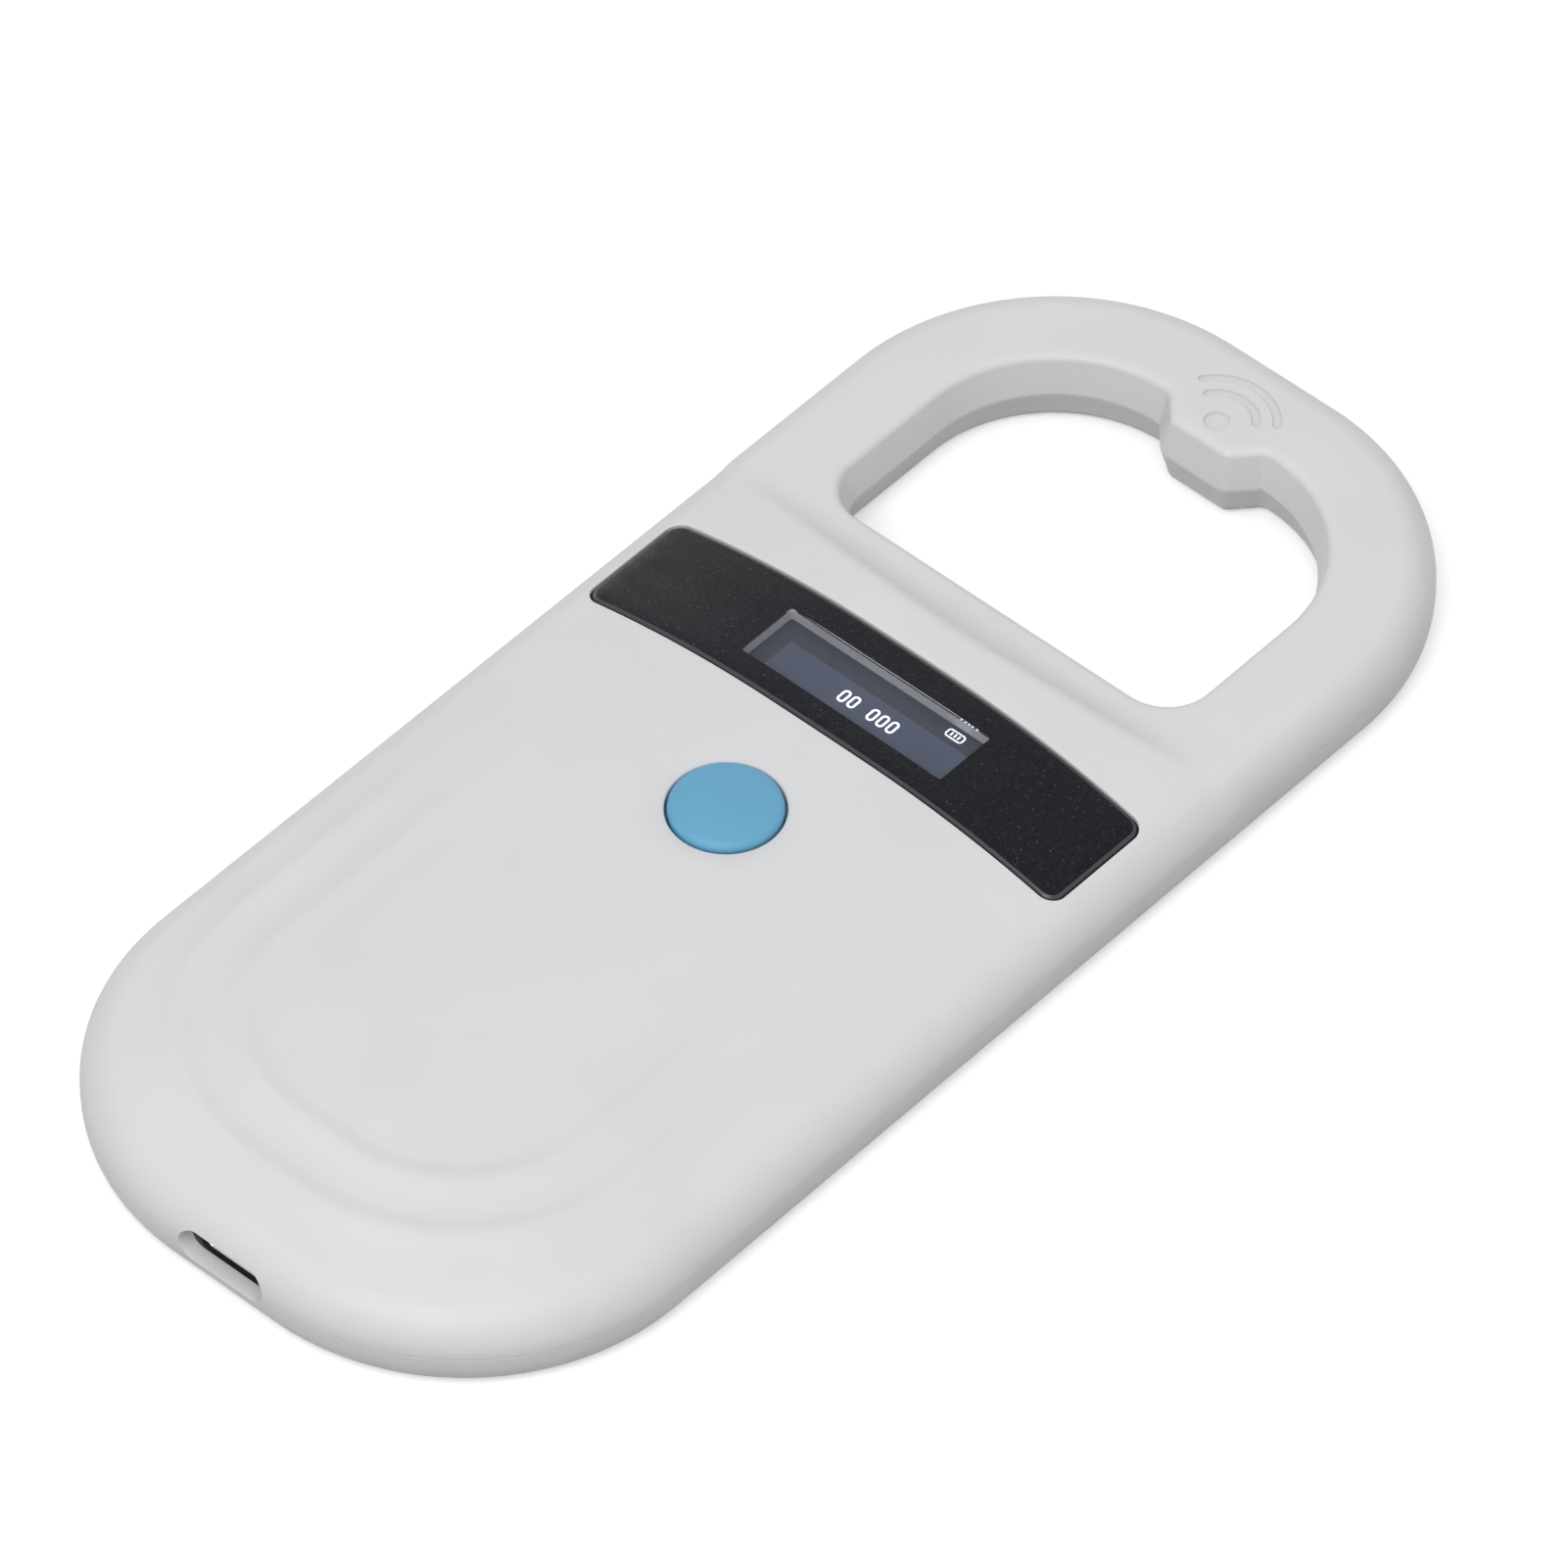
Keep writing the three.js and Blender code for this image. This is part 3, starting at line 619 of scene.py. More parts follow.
CASE_PLASTIC = moulded("case_plastic", CASE_GREY)
BUTTON_PLASTIC = moulded(
    "button_plastic", BUTTON_BLUE, roughness=(0.45, 0.55), grain=0.18, depth=0.005, mottle=0.04,
)
PANEL_FILM = panel_material()
PANEL_EDGE = moulded("panel_edge", (0.86, 0.86, 0.88), roughness=(0.3, 0.4), depth=0.002)
PANEL_BEVEL = moulded("panel_bevel", (0.045, 0.046, 0.052), roughness=(0.22, 0.30), depth=0.002)
LENS = lens_material()
OLED_GLASS = moulded(
    "display_glass", (0.082, 0.085, 0.106), roughness=(0.20, 0.24), grain=3.0, depth=0.0001, mottle=0.03,
    Specular_IOR_Level=0.15,
)
# Painted reflection: a lighter bluish tone with no glow, standing for the softbox mirrored in the display
# glass.
OLED_PAINTED_REFLECTION = glow_material("display_painted_reflection", (0.124, 0.142, 0.196), 0.0)
OLED_LIT = glow_material("display_lit", (0.85, 0.92, 1.0), 1.4)
CHIP_BLACK = moulded("chip_black", (0.016, 0.016, 0.017), roughness=(0.35, 0.5), mottle=0.15)
BLACK_FOAM = moulded(
    "black_foam", (0.012, 0.012, 0.013), roughness=(0.85, 0.95), grain=0.4, depth=0.05, mottle=0.2,
)
WHITE_PLASTIC = moulded("white_plastic", (0.74, 0.72, 0.67), roughness=(0.4, 0.5))
STEEL = metal("plated_steel", (0.62, 0.63, 0.65))
ENAMEL = metal("enamelled_copper", (0.60, 0.22, 0.09), roughness=(0.22, 0.36), scratch=1.0, depth=0.002)
BATTERY_FOIL = metal("battery_foil", (0.66, 0.67, 0.69), roughness=(0.30, 0.48), scratch=5.0, depth=0.12)
CERAMIC = moulded("ceramic", (0.26, 0.17, 0.10), roughness=(0.3, 0.45), grain=0.1, mottle=0.1)
KAPTON = moulded("kapton_tape", (0.52, 0.24, 0.03), roughness=(0.2, 0.3), grain=1.5, depth=0.03, mottle=0.08)
RED_JACKET = moulded("red_jacket", (0.42, 0.022, 0.020), roughness=(0.35, 0.5), mottle=0.05)
BLACK_JACKET = moulded("black_jacket", (0.014, 0.014, 0.015), roughness=(0.35, 0.5), mottle=0.1)
BOARD_EDGE = moulded(
    "board_edge", (0.36, 0.33, 0.17), roughness=(0.6, 0.8), grain=0.15, depth=0.02, mottle=0.1,
)
BOARD_GREEN = traced_material("board_green", (0.012, 0.085, 0.035), (0.020, 0.150, 0.060), 1.6)
RIBBON = traced_material("ribbon_film", (0.30, 0.13, 0.025), (0.46, 0.20, 0.06), 0.8)
GOLD = metal("gold_contact", (0.83, 0.62, 0.26), roughness=(0.2, 0.3))

# ---- shells

SCREWS = [node_box(f"case_screw_{i}") for i in (1, 2, 3, 4)]
SCREW_PLACES = [((low + high) / 2)[:2] for low, high in SCREWS]
BOSS_RADIUS, BOSS_PILOT, BOSS_BORE, BORE_DEPTH, PILOT_TOP = 3.0, 1.3, 2.3, 2.2, 8.6
POST_PLACES = [(-19.8, 8), (19.8, 8), (-19.8, -60), (19.8, -60)]
POST_RADIUS, POST_TOP = 1.4, BASE_HIGH[2]


def case_rounding():
    """Rings up the top shell's rounded edge, from the seam to the top face's triangles, and
    the outlines that carry it on inside those, where the panel's recess reaches into it."""
    rings = [level(TOP_RIM, case_outline(SEAM_CHAMFER)), level(TOP_RIM + SEAM_CHAMFER, case_outline(0))]
    insets = [EDGE_INSET * (1 - math.cos(math.radians(turn))) for turn in range(6, 97, 6)]
    outer = [inset for inset in insets if inset < RECESS_CLEAR]
    rings += [level(top_skin, case_outline(inset)) for inset in outer]
    return rings, [case_outline(inset) for inset in insets[len(outer):]]


# The pictogram on the loop: a dot with two arcs, engraved.
ICON_Y, ICON_DOT, ICON_ARCS, ICON_SPREAD, ICON_STROKE, ICON_DEPTH = 74.2, 1.5, (4.4, 6.7), 54, 1.1, 0.30


def icon_outlines():
    outlines = [circle(0, ICON_Y, ICON_DOT, 32)]
    for radius in ICON_ARCS:
        half, steps = ICON_STROKE / 2, 30
        start, stop = 90 - ICON_SPREAD, 90 + ICON_SPREAD
        outer = arc(0, ICON_Y, radius + half, start, stop, steps)
        inner = arc(0, ICON_Y, radius - half, stop, start, steps)
        ends = []
        for angle, turn in ((stop, 0), (start, 180)):
            centre = (radius * math.cos(math.radians(angle)), ICON_Y + radius * math.sin(math.radians(angle)))
            ends.append(arc(*centre, half, angle + turn, angle + turn + 180, 8)[1:-1])
        outlines.append(np.vstack([outer, ends[0], inner, ends[1]]))
    return outlines


def port_cutter():
    """The charging port's opening, flared a little at the outside."""
    rings = []
    flare = [(-HALF_LENGTH - 2.0, 0.7), (-HALF_LENGTH, 0.15), (-HALF_LENGTH + 0.4, 0.0),
             (-HALF_LENGTH + SIDE_WALL + 1.0, 0.0)]
    for y, grow in flare:
        half, high = PORT_HALF + grow, PORT_HALF_HEIGHT + grow
        rings.append(upright(y, rectangle(
            half, PORT_Z - high, PORT_Z + high, high - 0.01, turn=10, spacing=20,
        )))
    return Shape().closed(*rings).object("port_cutter")


def top_shell():
    shape = Shape()
    edge, rows = case_rounding()
    shape.band(*edge)

    # The hole: its wall leans in to the seam, and is rounded into the top face.
    lean = lambda z: HOLE_LEAN * (LOOP_TOP - z) / (LOOP_TOP - SEAM)
    start = LOOP_TOP - HOLE_FILLET
    wall = [level(z, hole_outline(lean(z))) for z in np.linspace(TOP_RIM, start, 6)]
    wall[0] = level(TOP_RIM, hole_outline(lean(TOP_RIM) - SEAM_CHAMFER))
    wall.insert(1, level(TOP_RIM + SEAM_CHAMFER, hole_outline(lean(TOP_RIM))))
    for c, s in bend(15, 90, 6):
        wall.append(level(start + HOLE_FILLET * s, hole_outline(lean(start) * c - HOLE_FILLET * (1 - c))))
    shape.band(*wall)

    # The display's recess, with a rounded edge, and the window through its floor.
    recess = []
    for c, s in bend(90, 0, 5):
        plan = recess_outline(RECESS_ROUND * (1 - c))
        recess.append(level(lambda x, y: top_skin(x, y) - RECESS_ROUND * (1 - s), plan))
    rim = recess_outline(0)
    recess.append(level(below_crown(RECESS_DEPTH), rim))
    shape.band(*recess)
    window = window_outline(0)
    collar = window_outline(-COLLAR)
    shape.sheet(rim, [collar], below_crown(RECESS_DEPTH), 3.0)
    collar_top, collar_low = below_crown(PANEL_THICKNESS + CLEAR), OLED_TOP + CLEAR
    shape.band(
        level(below_crown(RECESS_DEPTH), collar), level(collar_top, collar), level(collar_top, window),
        level(collar_low, window), level(collar_low, collar), level(below_crown(TOP_WALL), collar),
    )

    # The button's hole.
    mouth = []
    for c, s in bend(90, 0, 5):
        plan = circle(0, BUTTON_Y, BUTTON_HOLE + BUTTON_HOLE_ROUND * (1 - c), 96)
        mouth.append(level(lambda x, y: top_height(x, y) - BUTTON_HOLE_ROUND * (1 - s), plan))
    throat = circle(0, BUTTON_Y, BUTTON_HOLE, 96)
    mouth.append(level(lambda x, y: top_plain(x, y) - TOP_WALL, throat))
    shape.band(*mouth)

    # The pictogram.
    icon = icon_outlines()
    for outline in icon:
        shape.band(level(LOOP_TOP, outline), level(LOOP_TOP - ICON_DEPTH, outline))
        shape.sheet(outline, [], LOOP_TOP - ICON_DEPTH, 2.0)

    shape.sheet(
        edge[-1][:, :2], [wall[-1][:, :2], recess[0][:, :2], mouth[0][:, :2], *icon],
        top_skin, 0.9, rows_of=rows,
    )

    # The inside: side wall, ceiling, the hole's own wall, and the screw bosses.
    ceiling = lambda x, y: top_plain(x, y) - TOP_WALL
    inner = case_outline(SIDE_WALL)
    hub = hole_outline(-HOLE_WALL, HUB_TIP_FILLET)
    bosses = [circle(*place, BOSS_RADIUS - 0.2, 32) for place in SCREW_PLACES]
    shape.band(edge[0], level(TOP_RIM, inner), level(ceiling, inner))
    shape.sheet(hub, [wall[0][:, :2]], TOP_RIM, 60.0)
    shape.band(level(TOP_RIM, hub), level(ceiling, hub))
    shape.sheet(inner, [hub, collar, throat, *bosses], ceiling, 3.0)
    for place, boss in zip(SCREW_PLACES, bosses):
        pilot = circle(*place, BOSS_PILOT, 32)
        shape.band(level(ceiling, boss), level(TOP_RIM, boss), level(TOP_RIM, pilot), level(PILOT_TOP, pilot))
        shape.cap(level(PILOT_TOP, pilot))
    shape.piece(
        "top_shell_moulding", CASE_PLASTIC, "case_plastic", "top_shell", cutters=[port_cutter()],
    )


def bottom_shell():
    shape = Shape()
    edge = [level(BASE_RIM, case_outline(SEAM_CHAMFER)), level(BASE_RIM - SEAM_CHAMFER, case_outline(0))]
    for c, s in bend(0, 90, 9):
        edge.append(level(BASE_RISE * (1 - s), case_outline(BASE_INSET * (1 - c))))
    shape.band(*edge)

    slope = (HOLE_LEAN - HOLE_BASE_INSET) / (SEAM - HOLE_BASE_ROUND)
    lean = lambda z: HOLE_BASE_INSET + slope * (z - HOLE_BASE_ROUND)
    wall = [level(BASE_RIM, hole_outline(lean(BASE_RIM) - SEAM_CHAMFER))]
    wall += [level(z, hole_outline(lean(z))) for z in np.linspace(BASE_RIM - SEAM_CHAMFER, HOLE_BASE_ROUND, 3)]
    for c, s in bend(12, 90, 7):
        inset = HOLE_BASE_INSET - HOLE_BASE_FLARE * (1 - c)
        wall.append(level(HOLE_BASE_ROUND * (1 - s), hole_outline(inset)))
    shape.band(*wall)

    inner = case_outline(SIDE_WALL)
    hub = hole_outline(-HOLE_WALL, HUB_TIP_FILLET)
    bosses = [circle(*place, BOSS_RADIUS, 32) for place in SCREW_PLACES]
    posts = [circle(*place, POST_RADIUS, 24) for place in POST_PLACES]
    shape.band(edge[0], level(BASE_RIM, inner), level(BASE_WALL, inner))
    shape.sheet(hub, [wall[0][:, :2]], BASE_RIM, 60.0)
    shape.band(level(BASE_RIM, hub), level(BASE_WALL, hub))
    shape.sheet(inner, [hub, *bosses, *posts], BASE_WALL, 3.0)
    for post in posts:
        shape.band(level(BASE_WALL, post), level(POST_TOP, post))
        shape.cap(level(POST_TOP, post))
    mouths = []
    for place, boss in zip(SCREW_PLACES, bosses):
        pilot, bore = circle(*place, BOSS_PILOT, 32), circle(*place, BOSS_BORE, 32)
        mouth = circle(*place, BOSS_BORE + 0.25, 32)
        mouths.append(mouth)
        shape.band(
            level(BASE_WALL, boss), level(BASE_RIM, boss), level(BASE_RIM, pilot), level(BORE_DEPTH, pilot),
            level(BORE_DEPTH, bore), level(0.25, bore), level(0, mouth),
        )
    shape.sheet(edge[-1][:, :2], [wall[-1][:, :2], *mouths], 0.0, 2.5)
    shape.piece(
        "bottom_shell_moulding", CASE_PLASTIC, "case_plastic", "bottom_shell", cutters=[port_cutter()],
    )


def swept(section, outline, shape=None):
    """A closed section of (inset, z) points, carried round an outline."""
    rings = [level(z, outline(inset)) for inset, z in section]
    shape = shape or Shape()
    shape.band(*rings, rings[0])
    return shape


def softened(low, high, edge, plan, slot=0, shape=None):
    """A block between two heights over a plan, given by its inset, with softened edges."""
    section = [(edge, low), (0, low + edge), (0, high - edge), (edge, high)]
    return (shape or Shape()).closed(*(level(z, plan(inset)) for inset, z in section), slot=slot)


def slab(low, high, half, near, far, corner, edge, x=0.0, **how):
    """A rectangular block with rounded corners and softened edges."""
    plan = lambda inset: rectangle(half, near, far, corner, inset, x=x, turn=22.5, spacing=200)
    return softened(low, high, edge, plan, **how)


def node_slab(node, corner, edge):
    """A slab that fills the box of a node centred on X = 0."""
    low, high = node_box(node)
    return slab(low[2], high[2], high[0], low[1], high[1], corner, edge)


# ---- display


def display():
    bevel, drop = 0.34, 0.20
    shape = Shape()
    side = panel_outline(0)
    face = panel_outline(bevel)
    window = window_outline(0)
    lip = window_outline(-0.06)
    shape.band(
        level(below_crown(PANEL_THICKNESS), side), level(below_crown(drop + 0.04), side),
        level(below_crown(drop - 0.02), panel_outline(0.05)),
        level(below_crown(0.03), panel_outline(bevel - 0.06)), level(crown, face), slot=2,
    )
    shape.sheet(face, [lip], crown, 1.6)
    rim, base = level(below_crown(0.08), window), below_crown(PANEL_THICKNESS)
    shape.band(level(crown, lip), rim)
    shape.band(rim, level(base, window), slot=1)
    shape.sheet(side, [window], base, 4.0)
    shape.piece(
        "display_panel_film", [PANEL_FILM, PANEL_EDGE, PANEL_BEVEL], "panel_film", "display_panel",
    )

    shape = Shape()
    pad, hollow = recess_outline(-ADHESIVE_SHY), window_outline(-COLLAR - 0.1)
    faces = below_crown(RECESS_DEPTH - CLEAR), below_crown(PANEL_THICKNESS + 0.05)
    for ring in (pad, hollow):
        shape.band(*(level(height, ring) for height in faces))
    for height in faces:
        shape.sheet(pad, [hollow], height, 4.0)
    shape.piece("panel_adhesive_tape", BLACK_FOAM, "adhesive_tape", "panel_adhesive")

    lens = softened(WINDOW_LOW[2], WINDOW_HIGH[2], 0.04, lambda inset: window_outline(LENS_GAP + inset))
    lens.piece("display_window_lens", LENS, "window_lens", "display_window")


# The display's painted reflection (a lighter bluish field on the glass in place of the softbox mirrored there;
# the darker bare glass left at its left and far margins is painted shade), its row of figures and its battery
# pictogram.
REFLECTION_X, REFLECTION_HALF, REFLECTION_NEAR, REFLECTION_FAR = 1.35, 13.55, 10.6, 17.3
FIGURES_X, FIGURES_Y, FIGURE_PITCH = 1.0, 15.05, 1.4
CELL_X, CELL_Y = 10.4, 18.7


def oled():
    low, high = node_box("oled_display")
    glass = slab(low[2], high[2] - 0.06, high[0], low[1], high[1], 0.3, 0.08)
    glass.piece("oled_glass", OLED_GLASS, "display_glass", "oled_display")
    # Painted reflection: a thin lighter slab over the glass. The glass left bare round it is painted shade.
    reflection_slab = slab(high[2] - 0.05, high[2] - 0.02, REFLECTION_HALF, REFLECTION_NEAR, REFLECTION_FAR, 0.1, 0.01, x=REFLECTION_X)
    reflection_slab.piece("oled_painted_reflection", OLED_PAINTED_REFLECTION, "display_glass")

    base, top = high[2] - 0.015, high[2]
    lit = Shape()

    def ring(x, y, half, half_height, stroke, corner):
        plan = lambda inset: rectangle(
            half, y - half_height, y + half_height, corner, inset, x=x, turn=15, spacing=9,
        )
        section = [(0, base), (0, top), (stroke, top), (stroke, base)]
        swept(section, plan, lit)

    for place in (0, 1, 3, 4, 5):
        ring(FIGURES_X + FIGURE_PITCH * (place - 2.5), FIGURES_Y, 0.52, 0.95, 0.25, 0.50)
    ring(CELL_X, CELL_Y, 1.2, 0.62, 0.16, 0.4)
    for k in (-1, 0, 1):
        slab(base, top, 0.1, CELL_Y - 0.28, CELL_Y + 0.28, 0.05, 0.004, x=CELL_X + 0.5 * k, shape=lit)
    lit.piece("oled_figures", OLED_LIT, "display_glass")


# ---- button


def turned(profile, x, y, steps, shape=None):
    """A body of revolution. The profile runs from the axis at the bottom to it at the top."""
    return (shape or Shape()).closed(*(level(z, circle(x, y, r, steps)) for r, z in profile))


def button():
    radius, edge, round_ = 6.4, 12.45, 0.75
    dome = BUTTON_HIGH[2] - edge
    low, flange, flange_high = BUTTON_LOW[2], 7.5, 10.35
    stem, skirt, roof = 2.2, 5.2, 11.6
    profile = [
        (stem, low + 0.1), (stem, roof), (skirt, roof), (skirt, low),
        (flange, low), (flange, flange_high), (radius, flange_high),
    ]
    surface = lambda r: edge + dome * (1 - (r / radius) ** 2) - 0.02
    for c, s in bend(0, 80, 9):
        r = radius - round_ * (1 - c)
        profile.append((r, surface(r) - round_ * (1 - s)))
    profile += [(r, surface(r)) for r in np.linspace(radius - round_, 0.4, 12)]
    turned(profile, 0, BUTTON_Y, 96).piece(
        "scan_button_cap", BUTTON_PLASTIC, "button_plastic", "scan_button", body="button",
    )


# ---- electronics

BOARD_LOW, BOARD_HIGH = node_box("main_board")
CHIP_LOW = BOARD_HIGH[2] + CLEAR
LEAD_THICKNESS = 0.12


def middle(low, high):
    return (low[0] + high[0]) / 2, (low[1] + high[1]) / 2


def tube(path, radius):
    """A round wire through three points."""
    steps, around = 16, 14
    a, b, c = (np.array(p, float) for p in path)
    rings = []
    for t in np.linspace(0, 1, steps):
        centre = a * (1 - t) * (1 - 2 * t) + b * 4 * t * (1 - t) + c * t * (2 * t - 1)
        ahead = a * (4 * t - 3) + b * (4 - 8 * t) + c * (4 * t - 1)
        ahead /= np.linalg.norm(ahead)
        side = np.cross(ahead, (0, 0, 1))
        side /= np.linalg.norm(side)
        up = np.cross(side, ahead)
        turn = np.radians(np.arange(around) * 360 / around)[:, None]
        rings.append(centre + radius * (np.cos(turn) * side + np.sin(turn) * up))
    return Shape().closed(*rings)


def gull_lead(shape, root, out, width, high):
    """A lead from a chip's side at the root (x, y), bent down to its pad. Out is +-X or +-Y."""
    run, foot, pad = 0.25, 0.75, CHIP_LOW + LEAD_THICKNESS
    low = high - LEAD_THICKNESS
    section = [
        (-0.05, high), (run, high), (run + 0.1, high - 0.1), (run + 0.15, pad + 0.05), (run + 0.2, pad),
        (foot, pad), (foot, CHIP_LOW), (run + 0.1, CHIP_LOW), (run + 0.03, CHIP_LOW + 0.08),
        (run - 0.02, low - 0.05), (run - 0.07, low), (-0.05, low),
    ]
    root, out = np.array(root), np.array(out)
    ends = [
        np.array([(*(root + out * u + abs(out[::-1]) * side), z) for u, z in section])
        for side in (-width / 2, width / 2)
    ]
    shape.closed(*ends, slot=1)


def chip(node, leads, pitch, sides):
    """A moulded package with drafted sides, a first-pin mark and its leads."""
    lead_room, draft, seat = 0.62, 0.12, 0.12
    low, high = node_box(node)
    x, y = middle(low, high)
    half = np.array([high[0] - low[0], high[1] - low[1]]) / 2
    for axis, letter in enumerate("xy"):
        if letter in sides:
            half[axis] -= lead_room
    if sides == "xy":
        half[1] = half[0]
    plan = lambda inset: rectangle(half[0], y - half[1], y + half[1], 0.15, inset, x=x, turn=30, spacing=20)
    parting, top = (CHIP_LOW + high[2]) / 2, high[2]
    rings = [level(z, plan(inset)) for inset, z in (
        (draft, CHIP_LOW + seat), (0, parting - 0.04), (0, parting + 0.04), (0.08, top - 0.06), (0.14, top),
    )]
    shape = Shape()
    shape.band(*rings)
    shape.cap(rings[0])
    mark = circle(x - half[0] + 0.75, y + half[1] - 0.75, 0.28, 16)
    shape.sheet(rings[-1][:, :2], [mark], top, 50.0)
    shape.dimple(mark, top, 0.08)
    width, root = 0.32 * pitch, parting + 0.06
    for k in range(leads):
        along = (k - (leads - 1) / 2) * pitch
        for side in (-1, 1):
            if "x" in sides:
                gull_lead(shape, (x + side * half[0], y + along), (side, 0), width, root)
            if "y" in sides:
                gull_lead(shape, (x + along, y + side * half[1]), (0, side), width, root)
    shape.piece(node + "_package", [CHIP_BLACK, STEEL], "black_plastic", node)


def two_ended(shape, x, y, half, half_width, height, along_y=False, share=0.22):
    """A small ceramic part with metal ends: slot 0 is its body, slot 1 its ends."""

    def block(start, stop, grow, slot):
        centre, half_x, half_y = (start + stop) / 2, (stop - start) / 2, half_width + grow
        cx, cy = x + centre, y
        if along_y:
            half_x, half_y, cx, cy = half_y, half_x, x, y + centre
        slab(CHIP_LOW, CHIP_LOW + height + grow, half_x, cy - half_y, cy + half_y, 0.05, 0.03,
             x=cx, slot=slot, shape=shape)

    end, tuck = 2 * half * share, 0.02
    block(-half + end - tuck, half - end + tuck, -tuck, 0)
    block(-half, -half + end, 0.0, 1)
    block(half - end, half, 0.0, 1)


# Small parts on the board: half length, half width and height, then place and whether it lies along Y.
SMALL, TALL, MEDIUM, LARGE = (0.8, 0.4, 0.45), (0.8, 0.4, 0.5), (1.0, 0.62, 0.6), (1.6, 0.8, 0.8)
PASSIVES = [
    (SMALL, -13.5, -27, True), (SMALL, -13.5, -30, True), (SMALL, -13.5, -33, True), (SMALL, -2.6, -27, True),
    (SMALL, -2.6, -33, True), (TALL, -12.6, -40, True), (TALL, -3.4, -40, True), (SMALL, 0.5, -47, False),
    (SMALL, 0.5, -50, False), (SMALL, 0.5, -53, False), (MEDIUM, 15.6, -48, False), (MEDIUM, 15.6, -52, False),
    (MEDIUM, -13.0, -66, True), (SMALL, -3.2, -64, True), (SMALL, -3.2, -68, True), (MEDIUM, 14.0, 20, True),
    (SMALL, 11.5, 22, True), (LARGE, 6, -72, False),
]


def board():
    left, near, low = BOARD_LOW
    right, far, high = BOARD_HIGH
    corners, radii = [(left, near), (right, near), (right, far), (left, far)], [14, 14, 2, 2]
    plan = lambda inset: rounded_polygon(corners, radii, inset, spacing=300, turn=6)
    edge = 0.06
    shape = Shape()
    shape.band(level(low, plan(edge)), level(low + edge, plan(0)),
               level(high - edge, plan(0)), level(high, plan(edge)), slot=1)
    holes = [circle(*place, 0.9, 20) for place in POST_PLACES]
    for z in (low, high):
        shape.sheet(plan(edge), holes, z, 60.0)
    for hole in holes:
        shape.band(level(low, hole), level(high, hole), slot=2)
    shape.piece("main_board_laminate", [BOARD_GREEN, BOARD_EDGE, GOLD], "board_green", "main_board")

    shape = Shape()
    for size, x, y, along_y in PASSIVES:
        two_ended(shape, x, y, *size, along_y)
    shape.piece("board_passives", [CERAMIC, STEEL], "black_plastic")

    chip("controller_chip", 8, 0.65, "xy")
    chip("reader_chip", 7, 0.75, "y")
    chip("charger_chip", 3, 0.95, "x")

    low, high = node_box("crystal")
    x, y = middle(low, high)
    brim, plate = 0.25, CHIP_LOW + 0.24
    can = slab(CHIP_LOW + brim, high[2], high[0] - x - brim, low[1] + brim, high[1] - brim, 0.5, 0.12, x=x)
    slab(CHIP_LOW, plate, high[0] - x, low[1], high[1], 0.6, 0.06, x=x, shape=can)
    can.piece("crystal_can", STEEL, "plated_steel", "crystal")

    low, high = node_box("tuning_capacitor")
    x, y = middle(low, high)
    part = Shape()
    two_ended(part, x, y, high[0] - x, high[1] - y, high[2] - CHIP_LOW, share=0.2)
    part.piece("tuning_capacitor_block", [CERAMIC, STEEL], "adhesive_tape", "tuning_capacitor")

    low, high = node_box("buzzer")
    r, top, groove = (high[0] - low[0]) / 2, high[2], 0.14
    profile = [
        (r - 0.2, CHIP_LOW), (r, CHIP_LOW + 0.2), (r, top - 0.35), (r - 0.1, top - 0.1), (r - 0.35, top),
        (3.3, top), (3.2, top - groove), (2.7, top - groove), (2.6, top),
        (0.95, top), (0.8, top - 0.12), (0.8, top - 0.6),
    ]
    can = turned(profile, *middle(low, high), 56)
    can.piece("buzzer_can", CHIP_BLACK, "black_plastic", "buzzer")


def switch():
    low, high = node_box("tactile_switch")
    x, y = middle(low, high)
    half, top = (high[0] - low[0]) / 2, high[2]
    cover, edge, inset, rivet_at = 0.6, 0.08, 0.05, 2.4
    shape = slab(CHIP_LOW, top - cover - 0.02, half - inset, y - half + inset, y + half - inset,
                 0.3, 0.06, x=x)
    well = circle(x, y, 2.0, 40)
    plan = lambda inset: rectangle(half, y - half, y + half, 0.4, inset, x=x, turn=15, spacing=20)
    shape.band(level(top - cover, plan(0)), level(top - edge, plan(0)), level(top, plan(edge)), slot=1)
    shape.sheet(plan(edge), [well], top, 9.0, slot=1)
    shape.band(level(top, well), level(top - cover, well), slot=1)
    shape.sheet(plan(0), [well], top - cover, 9.0, slot=1)
    rivet = [(0.32, top - 0.02), (0.28, top + 0.06), (0.14, top + 0.1)]
    for sx in (-rivet_at, rivet_at):
        for sy in (-rivet_at, rivet_at):
            turned(rivet, x + sx, y + sy, 14, shape)
    shape.piece("tactile_switch_body", [CHIP_BLACK, STEEL], "plated_steel", "tactile_switch")

    low, high = node_box("switch_plunger")
    r, top = (high[0] - low[0]) / 2, high[2]
    profile = [(r - 0.15, low[2]), (r, low[2] + 0.1), (r, top - 0.2), (r - 0.06, top - 0.06), (r - 0.2, top)]
    turned(profile, *middle(low, high), 40).piece(
        "switch_plunger_pin", WHITE_PLASTIC, "black_plastic", "switch_plunger", body="button",
    )


